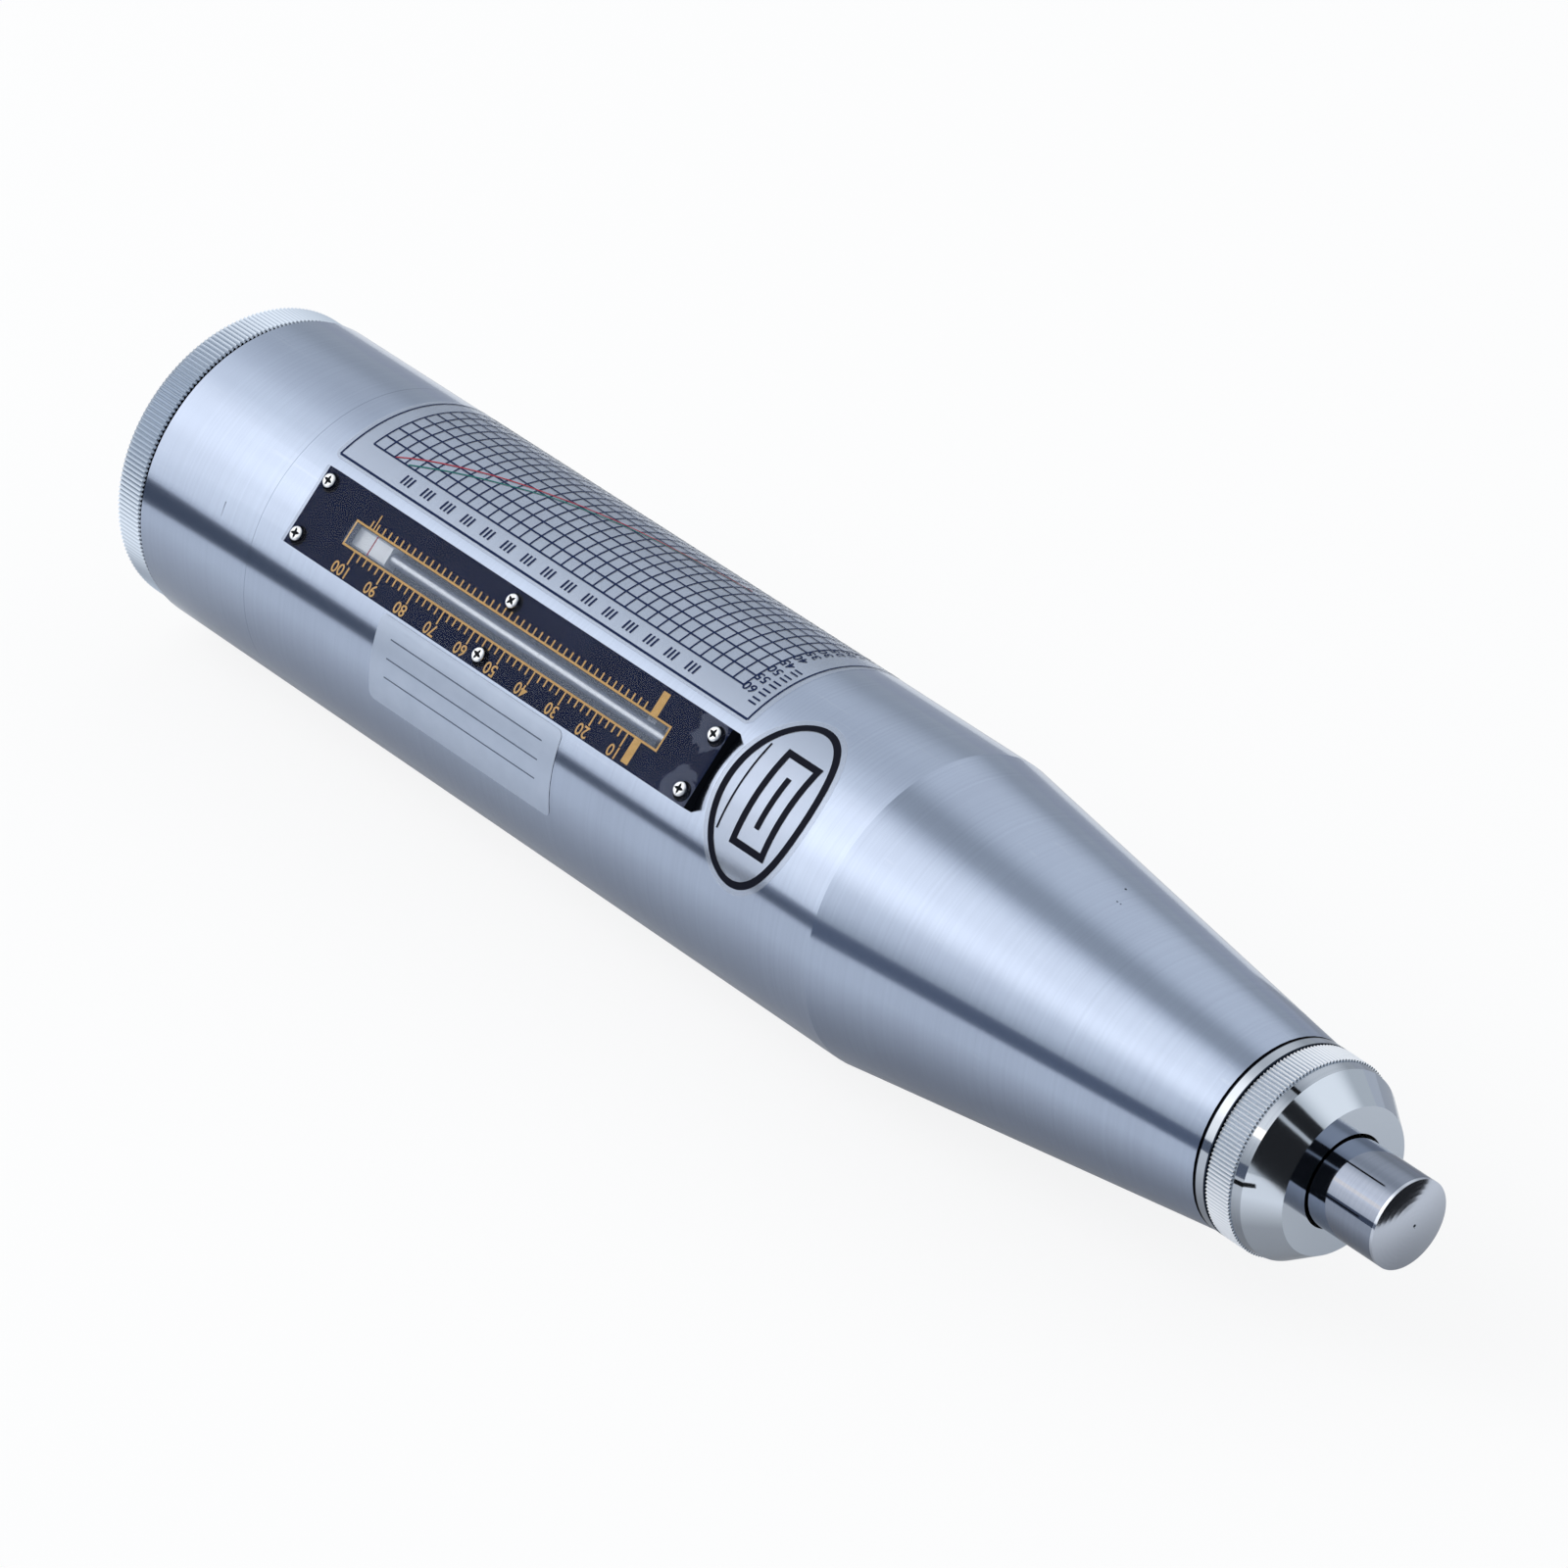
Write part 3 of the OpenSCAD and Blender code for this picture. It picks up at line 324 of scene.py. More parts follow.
skin_tone = add_node(tree, "ShaderNodeMix", [(flaws_and_joint_shade, "Factor"), (finish.outputs["Result"], "A")],
                     data_type="RGBA")
skin_tone.inputs["B"].default_value = colour("#2B3442")
tree.links.new(skin_tone.outputs["Result"], shader.inputs["Base Color"])
dress(["housing"], anodised)

# Rear cover and nose cap: turned and knurled, then bright plated. The knurls are painted
# whiter for the light their ridges scatter, and the bevel of the cap is polished.
plated, tree, shader = new_material("bright_nickel_plate")
shade = rings_and_clouds(tree, shader, "#B9C0CA", "#AFB6C1", 0.08, 0.0003, 0.00000012)
along = add_node(tree, "ShaderNodeSeparateXYZ",
                 [(add_node(tree, "ShaderNodeTexCoord").outputs["Object"], "Vector")])


def zone(tree, along, u0, u1):
    """One between two stations of the hammer, in mm from the tail, and nought outside."""
    inside = add_node(tree, "ShaderNodeMath", [(along.outputs["X"], 0)], operation="COMPARE")
    inside.inputs[1].default_value = station((u0 + u1) / 2)
    inside.inputs[2].default_value = (u1 - u0) / 2000
    return inside.outputs[0]


# Two knurls and the bevel have their own tones, and a dark line is painted at each step and at the
# seam as the shade there.
RIM_KNURL, RIM_STEP, CAP_KNURL, CAP_BEVEL = (0.05, 6.4), (6.0, 6.4), (250.6, 256.0), (257.7, 263.0)
CAP_SEAM, CAP_REAR_STEP, CAP_FRONT_STEP = (248.5, 248.7), (250.3, 250.6), (255.62, 256.02)
plate_tone = shade.outputs["Result"]
for (u0, u1), code in ((RIM_KNURL, "#CBD5E2"), (CAP_KNURL, "#F2F5FA"), (CAP_BEVEL, "#D6DEE9"),
                       (RIM_STEP, "#4A525F"), (CAP_FRONT_STEP, "#20252E"),
                       (CAP_REAR_STEP, "#4A525F"), (CAP_SEAM, "#20252E")):
    band = add_node(tree, "ShaderNodeMix", [(zone(tree, along, u0, u1), "Factor"),
                                            (plate_tone, "A")], data_type="RGBA")
    band.inputs["B"].default_value = colour(code)
    plate_tone = band.outputs["Result"]
# The grooves of the two knurls are darker, by their depth below the crests.
RIM_KNURL_R, CAP_KNURL_R, GROOVE_FOOT, GROOVE_MOUTH = 26.6, 16.5, 0.34, 0.04
centred = add_node(tree, "ShaderNodeVectorMath",
                   [(add_node(tree, "ShaderNodeTexCoord").outputs["Object"], 0)],
                   operation="MULTIPLY_ADD")
centred.inputs[1].default_value = (0, 1, 1)
centred.inputs[2].default_value = (0, 0, -AXIS_Z)
from_axis = add_node(tree, "ShaderNodeVectorMath", [(centred.outputs["Vector"], 0)],
                     operation="LENGTH")
for (u0, u1), crest_r, code in ((RIM_KNURL, RIM_KNURL_R, "#A3AEBD"),
                                (CAP_KNURL, CAP_KNURL_R, "#BEC8D5")):
    depth = add_node(tree, "ShaderNodeMapRange", [(from_axis.outputs["Value"], "Value")],
                     inputs={"From Min": (crest_r - GROOVE_FOOT) / 1000,
                             "From Max": (crest_r - GROOVE_MOUTH) / 1000,
                             "To Min": 1.0, "To Max": 0.0})
    groove = add_node(tree, "ShaderNodeMath", [(zone(tree, along, u0, u1), 0),
                                               (depth.outputs["Result"], 1)],
                      operation="MULTIPLY")
    band = add_node(tree, "ShaderNodeMix", [(groove.outputs[0], "Factor"), (plate_tone, "A")],
                    data_type="RGBA")
    band.inputs["B"].default_value = colour(code)
    plate_tone = band.outputs["Result"]
tree.links.new(plate_tone, shader.inputs["Base Color"])
for (u0, u1), duller in ((RIM_KNURL, 0.34), (CAP_KNURL, 0.52)):
    dull = add_node(tree, "ShaderNodeMath", [(zone(tree, along, u0, u1), 0)],
                    operation="MULTIPLY_ADD")
    dull.inputs[1].default_value = duller
    tree.links.new(shader.inputs["Roughness"].links[0].from_socket, dull.inputs[2])
    tree.links.new(dull.outputs[0], shader.inputs["Roughness"])
dress(["rear_cover", "nose_cap", "button_bush", "lock_button"], plated)

# Plunger and guide rod: hardened steel, ground and polished, a little darker than the plate.
# The crowned tip is painted paler for the brighter light on its face, and is a shade duller and
# has one small pit from use.
CROWN_U0, CROWN_U1 = 276.3, 279.0
ground, tree, shader = new_material("ground_hardened_steel")
shade = rings_and_clouds(tree, shader, "#8B93A3", "#808898", 0.06, 0.0002, 0.00000003)
along = add_node(tree, "ShaderNodeSeparateXYZ",
                 [(add_node(tree, "ShaderNodeTexCoord").outputs["Object"], "Vector")])
crown = add_node(tree, "ShaderNodeMix", [(zone(tree, along, CROWN_U0, CROWN_U1), "Factor"),
                                         (shade.outputs["Result"], "A")], data_type="RGBA")
crown.inputs["B"].default_value = colour("#C6CCD8")
pit = add_node(tree, "ShaderNodeVectorMath",
               [(add_node(tree, "ShaderNodeTexCoord").outputs["Object"], 0)], operation="DISTANCE")
pit.inputs[1].default_value = tool_point(277.9, 0.3, 0.3)
pitted = add_node(tree, "ShaderNodeMath", [(pit.outputs["Value"], 0)], operation="LESS_THAN")
pitted.inputs[1].default_value = 0.00028
worn = add_node(tree, "ShaderNodeMix", [(pitted.outputs[0], "Factor"),
                                        (crown.outputs["Result"], "A")], data_type="RGBA")
worn.inputs["B"].default_value = colour("#1B222E")
dull = add_node(tree, "ShaderNodeMath", [(zone(tree, along, CROWN_U0, CROWN_U1), 0)],
                operation="MULTIPLY_ADD")
dull.inputs[1].default_value = 0.07
tree.links.new(shader.inputs["Roughness"].links[0].from_socket, dull.inputs[2])
tree.links.new(dull.outputs[0], shader.inputs["Roughness"])
tree.links.new(worn.outputs["Result"], shader.inputs["Base Color"])
dress(["plunger", "guide_rod", "pawl_pin", "trip_lock_nut"], ground)

# Rider rod: drawn steel wire, held by a block at each end of the slot. It keeps the satin
# sheen of the die, which catches the light over most of its width.
def ringed_metal(name, light_code, dark_code, rough, ring_pitch, depth):
    """A metal with nothing on it but its rings and clouds."""
    material, tree, shader = new_material(name)
    shade = rings_and_clouds(tree, shader, light_code, dark_code, rough, ring_pitch, depth)
    tree.links.new(shade.outputs["Result"], shader.inputs["Base Color"])
    return material


dress(["rider_rod"],
      ringed_metal("satin_drawn_steel", "#E2E8F2", "#D2D9E4", 0.42, 0.0004, 0.0000001))

# Working steel inside the barrel: flange, mass and seat, turned from bar. They are left
# bright from the lathe and lightly oiled, so they show fine rings under a dull sheen.
dress(["guide_flange", "hammer_mass", "spring_seat"],
      ringed_metal("turned_oiled_steel", "#AEB4BE", "#949BA7", 0.27, 0.0005, 0.000001))

# Trip screw, pawl, split ring, rod blocks and locking pin: steel, blackened in a hot bath
# and oiled. The finish is near black, and a little uneven.
dress(["trip_screw", "pawl", "split_ring", "rod_block_rear", "rod_block_front", "lock_pin"],
      ringed_metal("blackened_steel", "#5C626C", "#3B4048", 0.38, 0.0006, 0.000001))

# Springs and the rider's leaf: hard-drawn spring steel, coiled or bent cold. The wire keeps
# the grey of the drawing bench, with fine marks drawn wider than real ones.
dress(["pressure_spring", "impact_spring", "buffer_spring", "pawl_spring", "button_spring",
       "rider_leaf"],
      ringed_metal("drawn_spring_wire", "#A7ABB4", "#7F848E", 0.3, 0.0012, 0.000001))

# Felt ring in the nose cap: pressed wool that wipes the plunger. It is dark with oil and
# fibrous, its fibres drawn coarser than real ones.
def mottle(tree, shader, per_metre, detail, code_a, code_b):
    """Lets a colour drift between two tones, so many times a metre."""
    drift = add_node(tree, "ShaderNodeTexNoise",
                     [(place_on(tree, (per_metre,) * 3).outputs[0], "Vector")],
                     inputs={"Scale": 1.0, "Detail": detail})
    tone = add_node(tree, "ShaderNodeMix", [(drift.outputs["Fac"], "Factor")], data_type="RGBA")
    tone.inputs["A"].default_value = colour(code_a)
    tone.inputs["B"].default_value = colour(code_b)
    tree.links.new(tone.outputs["Result"], shader.inputs["Base Color"])


felt, tree, shader = new_material("pressed_wool_felt")
mottle(tree, shader, 2500, 3.0, "#2B2A28", "#5A5750")
shader.inputs["Roughness"].default_value = 0.95
dress(["felt_seal"], felt)

# Scale plate: aluminium saddle, anodised dark blue, under a clear cover. Old glue and
# fingermarks show as paler smudges, most of all round the two front screws.
PLATE_U0, PLATE_U1, PLATE_HALF, PLATE_TOP = 43.1, 142.0, 7.1, 28.2
SCREW_ACROSS = 4.95
SCREWS = [(u, side * SCREW_ACROSS) for u in (45.15, 91.1, 139.95) for side in (-1, 1)]
navy, tree, shader = new_material("dark_blue_anodising")
smudge = add_node(tree, "ShaderNodeTexNoise",
                  [(place_on(tree, (150, 150, 150)).outputs[0], "Vector")],
                  inputs={"Scale": 1.0, "Detail": 4.0, "Distortion": 1.2})
faint = add_node(tree, "ShaderNodeMapRange", [(smudge.outputs["Fac"], "Value")],
                 inputs={"From Min": 0.45, "From Max": 0.72, "To Min": 0.0, "To Max": 0.5})
blue = add_node(tree, "ShaderNodeMix", [(faint.outputs["Result"], "Factor")], data_type="RGBA")
blue.inputs["A"].default_value = colour("#141D3A")
blue.inputs["B"].default_value = colour("#1E2846")
place = add_node(tree, "ShaderNodeSeparateXYZ",
                 [(add_node(tree, "ShaderNodeTexCoord").outputs["Object"], "Vector")])
glue_noise = add_node(tree, "ShaderNodeTexNoise",
                      [(place_on(tree, (330, 330, 330), 0.3).outputs[0], "Vector")],
                      inputs={"Scale": 1.0, "Detail": 3.0, "Distortion": 1.5})
coords = add_node(tree, "ShaderNodeTexCoord")
glue = None
for across in (-SCREW_ACROSS, SCREW_ACROSS):
    reach = add_node(tree, "ShaderNodeVectorMath", [(coords.outputs["Object"], 0)],
                     operation="DISTANCE")
    reach.inputs[1].default_value = tool_point(138.9, across * 1.05, PLATE_TOP)
    ragged = add_node(tree, "ShaderNodeMath", [(glue_noise.outputs["Fac"], 0),
                                               (reach.outputs["Value"], 2)],
                      operation="MULTIPLY_ADD")
    ragged.inputs[1].default_value = 0.005
    patch = add_node(tree, "ShaderNodeMapRange", [(ragged.outputs[0], "Value")],
                     inputs={"From Min": 0.0058, "From Max": 0.0062, "To Min": 0.26, "To Max": 0})
    glue = patch.outputs["Result"] if glue is None else add_node(
        tree, "ShaderNodeMath", [(glue, 0), (patch.outputs["Result"], 1)],
        operation="MAXIMUM").outputs[0]
smudged = add_node(tree, "ShaderNodeMix", [(glue, "Factor"), (blue.outputs["Result"], "A")],
                   data_type="RGBA")
smudged.inputs["B"].default_value = colour("#8F98B0")
# Painted shadow: a black ring round each screw head on the plate, set a little off its centre.
screw_shadow_rings = None
for u, across in SCREWS:
    reach = add_node(tree, "ShaderNodeVectorMath", [(coords.outputs["Object"], 0)],
                     operation="DISTANCE")
    reach.inputs[1].default_value = tool_point(u + 0.1, across - 0.15, PLATE_TOP)
    close = add_node(tree, "ShaderNodeMath", [(reach.outputs["Value"], 0)], operation="LESS_THAN")
    close.inputs[1].default_value = 0.00168
    screw_shadow_rings = close.outputs[0] if screw_shadow_rings is None else add_node(
        tree, "ShaderNodeMath", [(screw_shadow_rings, 0), (close.outputs[0], 1)], operation="MAXIMUM").outputs[0]
ringed = add_node(tree, "ShaderNodeMix", [(screw_shadow_rings, "Factor"), (smudged.outputs["Result"], "A")],
                  data_type="RGBA")
ringed.inputs["B"].default_value = colour("#05070C")
end_face = add_node(tree, "ShaderNodeMath", [(place.outputs["X"], 0)], operation="GREATER_THAN")
end_face.inputs[1].default_value = station(PLATE_U1 - 0.02)
plate_colour = add_node(tree, "ShaderNodeMix", [(end_face.outputs[0], "Factor"),
                                                (ringed.outputs["Result"], "A")],
                        data_type="RGBA")
plate_colour.inputs["B"].default_value = colour("#0B0D12")
tree.links.new(plate_colour.outputs["Result"], shader.inputs["Base Color"])
shader.inputs["Roughness"].default_value = 0.42
shader.inputs["Specular IOR Level"].default_value = 0.02
dress(["scale_plate"], navy)

# Printing on the plate: pale orange ink, about 0.01 mm thick. A long stroke every 10 with
# its plain number, four short ones between, and short strokes alone on the other side.
STROKE = 75.0
U_HUNDRED = 57.3
INK_UP = 0.012


def join(pieces, name):
    """Joins pieces into one object under a name."""
    bpy.ops.object.select_all(action="DESELECT")
    for piece in pieces:
        piece.select_set(True)
    bpy.context.view_layer.objects.active = pieces[0]
    if len(pieces) > 1:
        bpy.ops.object.join()
    pieces[0].name = name
    pieces[0].data.name = name
    return pieces[0]


def stroke(u0, u1, v0, v1, cuts_u=1, cuts_v=1):
    """A flat printed bar, drawn on the unrolled surface in mm, cut fine enough to follow it."""
    bpy.ops.object.select_all(action="DESELECT")
    bpy.ops.mesh.primitive_grid_add(x_subdivisions=cuts_u, y_subdivisions=cuts_v, size=1,
                                    location=((u0 + u1) / 2, (v0 + v1) / 2, 0))
    bar = bpy.context.object
    bar.scale = (u1 - u0, v1 - v0, 1)
    bpy.ops.object.transform_apply(location=True, rotation=True, scale=True)
    return bar


def number(text, u, v, size, stretch=0.97):
    """A plain number on the unrolled surface, its top towards the lower side, made a mesh."""
    bpy.ops.object.select_all(action="DESELECT")
    bpy.ops.object.text_add(location=(u, v, 0), rotation=(0, 0, pi))
    label = bpy.context.object
    label.data.body = text
    label.data.size = size
    label.data.align_x = "CENTER"
    label.data.align_y = "CENTER"
    label.data.resolution_u = 3
    label.data.offset = 0.034
    bpy.ops.object.convert(target="MESH")
    label.scale = (stretch, 1, 1)
    bpy.ops.object.transform_apply(location=True, rotation=True, scale=True)
    return label


def lay_flat(piece, out):
    """Lays an unrolled print on the flat plate at its height out of the hammer."""
    for vertex in piece.data.vertices:
        vertex.co = tool_point(vertex.co.x, vertex.co.y, out)


def lay_round(piece, radius):
    """Wraps an unrolled print round the barrel at a radius."""
    for vertex in piece.data.vertices:
        turn = vertex.co.y / BARREL_R
        vertex.co = tool_point(vertex.co.x, radius * sin(turn), radius * cos(turn))


def ink(name, code, rough=0.45):
    """Screen ink: flat colour with faintly uneven cover and a dull sheen."""
    material, tree, shader = new_material(name)
    cover = add_node(tree, "ShaderNodeTexNoise",
                     [(place_on(tree, (900, 900, 900)).outputs[0], "Vector")],
                     inputs={"Scale": 1.0, "Detail": 2.0})
    r, g, b, _ = colour(code)
    uneven = add_node(tree, "ShaderNodeMix", [(cover.outputs["Fac"], "Factor")], data_type="RGBA")
    uneven.inputs["A"].default_value = (r * 0.82, g * 0.82, b * 0.82, 1)
    uneven.inputs["B"].default_value = (min(r * 1.15, 1), min(g * 1.15, 1), min(b * 1.15, 1), 1)
    tree.links.new(uneven.outputs["Result"], shader.inputs["Base Color"])
    shader.inputs["Roughness"].default_value = rough
    shader.inputs["Specular IOR Level"].default_value = 0.08
    return material


def faces_out(piece):
    """Turns a flat print's faces away from the hammer."""
    for polygon in piece.data.polygons:
        middle = polygon.center - Vector((0, 0, AXIS_Z))
        middle.x = 0
        if polygon.normal.dot(middle) < 0:
            polygon.flip()
    piece.data.update()


marks = []
WINDOW_U0, WINDOW_U1, WINDOW_HALF = 54.4, 131.2, 1.95
LINE, TICK_HALF = 0.36, 0.16
LONG_TICK, SHORT_TICK, UPPER_TICK, END_TICK = 2.35, 1.25, 1.2, 2.6
marks.append(stroke(WINDOW_U0 - LINE, WINDOW_U1 + LINE, WINDOW_HALF, WINDOW_HALF + LINE))
marks.append(stroke(WINDOW_U0 - LINE, WINDOW_U1 + LINE, -WINDOW_HALF - LINE, -WINDOW_HALF))
marks.append(stroke(WINDOW_U0 - LINE, WINDOW_U0, -WINDOW_HALF, WINDOW_HALF))
marks.append(stroke(WINDOW_U1, WINDOW_U1 + LINE, -WINDOW_HALF, WINDOW_HALF))
for i in range(46):
    u = U_HUNDRED + STROKE / 50 * i
    reach = LONG_TICK if i % 5 == 0 else SHORT_TICK
    marks.append(stroke(u - TICK_HALF, u + TICK_HALF, -WINDOW_HALF - LINE - reach,
                        -WINDOW_HALF - LINE))
for i in range(46):
    u = U_HUNDRED + STROKE / 50 * i
    marks.append(stroke(u - TICK_HALF, u + TICK_HALF, WINDOW_HALF + LINE,
                        WINDOW_HALF + LINE + UPPER_TICK))
marks.append(stroke(58.0, 58.26, WINDOW_HALF + LINE, WINDOW_HALF + LINE + END_TICK))
# Two broad bars close the scale at its front end.
BAR_U0, BAR_U1, BAR_TOP, BAR_FOOT = 126.4, 128.0, 6.3, -6.5
marks.append(stroke(BAR_U0, BAR_U1, WINDOW_HALF + LINE, BAR_TOP))
marks.append(stroke(BAR_U0, BAR_U1, BAR_FOOT, -WINDOW_HALF - LINE))
NUMBER_ACROSS, NUMBER_SIZE, NUMBER_SHIFT = -5.75, 2.85, 0.6
for i in range(10):
    marks.append(number(str(100 - 10 * i), U_HUNDRED + STROKE / 10 * i - NUMBER_SHIFT,
                        NUMBER_ACROSS, NUMBER_SIZE))
scale_print = join(marks, "scale_print")
lay_flat(scale_print, PLATE_TOP + INK_UP)
faces_out(scale_print)
scale_print.data.materials.append(ink("pale_orange_ink", "#E2B673"))
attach(scale_print, "tube")

# Clear cover: a strip of polished acrylic over the plate, its edges broken, with a clearance
# hole round each of the six screws. It lies on the ink, a hair above the plate.
COVER_TOP, COVER_GAP, COVER_HOLE_R = 29.0, 0.03, 1.55
bpy.ops.object.select_all(action="DESELECT")
bpy.ops.mesh.primitive_cube_add(size=1, location=((PLATE_U0 + PLATE_U1) / 2, 0,
                                                  (PLATE_TOP + COVER_GAP + COVER_TOP) / 2))
clear_cover = bpy.context.object
clear_cover.scale = (PLATE_U1 - PLATE_U0, 2 * PLATE_HALF, COVER_TOP - PLATE_TOP - COVER_GAP)
bpy.ops.object.transform_apply(location=True, rotation=True, scale=True)
bpy.ops.object.mode_set(mode="EDIT")
bpy.ops.mesh.select_all(action="SELECT")
bpy.ops.mesh.bevel(offset=0.12, segments=2)
bpy.ops.object.mode_set(mode="OBJECT")
punches = []
for u, across in SCREWS:
    bpy.ops.object.select_all(action="DESELECT")
    bpy.ops.mesh.primitive_cylinder_add(vertices=48, radius=COVER_HOLE_R, depth=4,
                                        location=(u, across, PLATE_TOP + 0.4))
    punches.append(bpy.context.object)
punch = join(punches, "punch")
bpy.ops.object.transform_apply(location=True, rotation=True, scale=True)
cut = clear_cover.modifiers.new("holes", "BOOLEAN")
cut.operation = "DIFFERENCE"
cut.object = punch
bpy.ops.object.select_all(action="DESELECT")
clear_cover.select_set(True)
bpy.context.view_layer.objects.active = clear_cover
bpy.ops.object.modifier_apply(modifier="holes")
bpy.data.objects.remove(punch)
bpy.ops.object.mode_set(mode="EDIT")
bpy.ops.mesh.select_all(action="SELECT")
bpy.ops.mesh.remove_doubles(threshold=0.0005)
bpy.ops.mesh.normals_make_consistent(inside=False)
bpy.ops.object.mode_set(mode="OBJECT")
for vertex in clear_cover.data.vertices:
    vertex.co = tool_point(vertex.co.x, vertex.co.y, vertex.co.z)
clear_cover.name = "clear_cover"
acrylic, tree, shader = new_material("clear_acrylic")
shader.inputs["IOR"].default_value = 1.49
wear = add_node(tree, "ShaderNodeTexNoise",
                [(place_on(tree, (220, 220, 220)).outputs[0], "Vector")],
                inputs={"Scale": 1.0, "Detail": 5.0})
haze = add_node(tree, "ShaderNodeMapRange", [(wear.outputs["Fac"], "Value")],
                inputs={"From Min": 0.4, "From Max": 0.8, "To Min": 0.02, "To Max": 0.09})
tree.links.new(haze.outputs["Result"], shader.inputs["Roughness"])
place = add_node(tree, "ShaderNodeVectorMath",
                 [(add_node(tree, "ShaderNodeTexCoord").outputs["Object"], 0)],
                 operation="DOT_PRODUCT")
place.inputs[1].default_value = (0, 1 / sqrt(2), 1 / sqrt(2))
over_slot = add_node(tree, "ShaderNodeMath", [(place.outputs["Value"], 0)], operation="COMPARE")
over_slot.inputs[1].default_value = AXIS_Z / sqrt(2)
over_slot.inputs[2].default_value = 0.0019
clear_tone = add_node(tree, "ShaderNodeMix", [(wear.outputs["Fac"], "Factor")], data_type="RGBA")
clear_tone.inputs["A"].default_value = colour("#060A14")
clear_tone.inputs["B"].default_value = colour("#2A3450")
# The strip above the slot is painted grey and a little less clear, as the light in the channel
# beneath it.
along = add_node(tree, "ShaderNodeSeparateXYZ",
                 [(add_node(tree, "ShaderNodeTexCoord").outputs["Object"], "Vector")])
over_slot = add_node(tree, "ShaderNodeMath", [(over_slot.outputs[0], 0),
                                              (zone(tree, along, WINDOW_U0, WINDOW_U1), 1)],
                     operation="MULTIPLY")
slot_light_veil = add_node(tree, "ShaderNodeMix", [(over_slot.outputs[0], "Factor"),
                                         (clear_tone.outputs["Result"], "A")], data_type="RGBA")
slot_light_veil.inputs["B"].default_value = colour("#A3B0C8")
tree.links.new(slot_light_veil.outputs["Result"], shader.inputs["Base Color"])
veil = add_node(tree, "ShaderNodeMapRange", [(over_slot.outputs[0], "Value")],
                inputs={"From Min": 0.0, "From Max": 1.0, "To Min": 0.11, "To Max": 0.14})
tree.links.new(veil.outputs["Result"], shader.inputs["Alpha"])
clear_cover.data.materials.append(acrylic)
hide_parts("window_pane")
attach(clear_cover, "tube")

# Scale screws: six small steel screws with domed cross-recess heads, plated with nickel. They
# hold the cover and the plate on the barrel, and each recess is painted dark as its shade.
screw_metal, tree, shader = new_material("nickelled_screw")
shade = rings_and_clouds(tree, shader, "#E2E5EA", "#C6CAD2", 0.22, 0.0004, 0.0000004)
coords = add_node(tree, "ShaderNodeTexCoord")
lifted = add_node(tree, "ShaderNodeVectorMath", [(coords.outputs["Object"], 0)],
                  operation="DOT_PRODUCT")
lifted.inputs[1].default_value = (0, -1 / sqrt(2), 1 / sqrt(2))
HEAD_RIM, RECESS_DEPTH, SHADE_OVER_COVER = 0.78, 0.25, 0.206
recess_top = (PLATE_TOP + HEAD_RIM + BARREL_R / sqrt(2)) / 1000
recess = add_node(tree, "ShaderNodeMapRange", [(lifted.outputs["Value"], "Value")],
                  inputs={"From Min": recess_top - RECESS_DEPTH / 1000, "From Max": recess_top,
                          "To Min": 1.0, "To Max": 0.0})
recess_shade_colour = add_node(tree, "ShaderNodeMix", [(recess.outputs["Result"], "Factor"),
                                        (shade.outputs["Result"], "A")], data_type="RGBA")
recess_shade_colour.inputs["B"].default_value = colour("#15171B")
tree.links.new(recess_shade_colour.outputs["Result"], shader.inputs["Base Color"])
dress(["scale_screws"], screw_metal)
# A dark four-pointed star is painted in each recess as its shade, its points turned as the screw
# stopped.
stars = []
STAR_REACH = (0.95, 0.62, 0.36, 0.62)
for u, across in SCREWS:
    turn = radians(17 * (u + 2 * (1 if across > 0 else -1)))
    bpy.ops.object.select_all(action="DESELECT")
    bpy.ops.mesh.primitive_circle_add(vertices=16, radius=1, location=(0, 0, 0), fill_type="NGON")
    star = bpy.context.object
    for i, vertex in enumerate(star.data.vertices):
        reach, angle = STAR_REACH[i % 4], turn + pi * i / 8
        vertex.co = (u + reach * cos(angle), across + reach * sin(angle), 0)
    stars.append(star)
recess_shade_stars = join(stars, "recess_shade_stars")
lay_flat(recess_shade_stars, COVER_TOP + SHADE_OVER_COVER)
faces_out(recess_shade_stars)
recess_shade_stars.data.materials.append(ink("painted_recess_shade", "#14171C", 0.8))
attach(recess_shade_stars, "tube")

# Rider: the small block that slides along the rod and keeps the reading. It is matt silver,
# and the cut across its top is filled with red enamel as the index line.
LINE_U, LINE_HALF, LINE_REACH, LINE_TOP = 58.425, 0.19, 1.74, 26.66
silver, tree, shader = new_material("matt_silver_rider")
mottle(tree, shader, 1400, 2.0, "#EDF3F9", "#F8FBFF")
shader.inputs["Metallic"].default_value = 0.1
shader.inputs["Roughness"].default_value = 0.5
dress(["rider"], silver)
index_line = join([stroke(LINE_U - LINE_HALF, LINE_U + LINE_HALF, -LINE_REACH, LINE_REACH)],
                  "index_line")
lay_flat(index_line, LINE_TOP)
faces_out(index_line)
index_line.data.materials.append(ink("red_enamel", "#B5303A", 0.35))
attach(index_line, "rider")

# Chart: a clear film stuck round the barrel above the scale, printed dark blue. It has a
# frame, a square grid, plain numbers, rows of ruled bars and two curves.
FILM_UP = 0.05
arc = pi * BARREL_R / 180  # one degree round the barrel, in mm


def film(name, strength):
    """Clear printed film: metal shows through a thin milky layer with a soft gloss."""
    material, tree, shader = new_material(name)
    mottle(tree, shader, 80, 4.0, "#C6CFDD", "#D5DCE8")
    shader.inputs["Roughness"].default_value = 0.3
    shader.inputs["Alpha"].default_value = strength
    return material


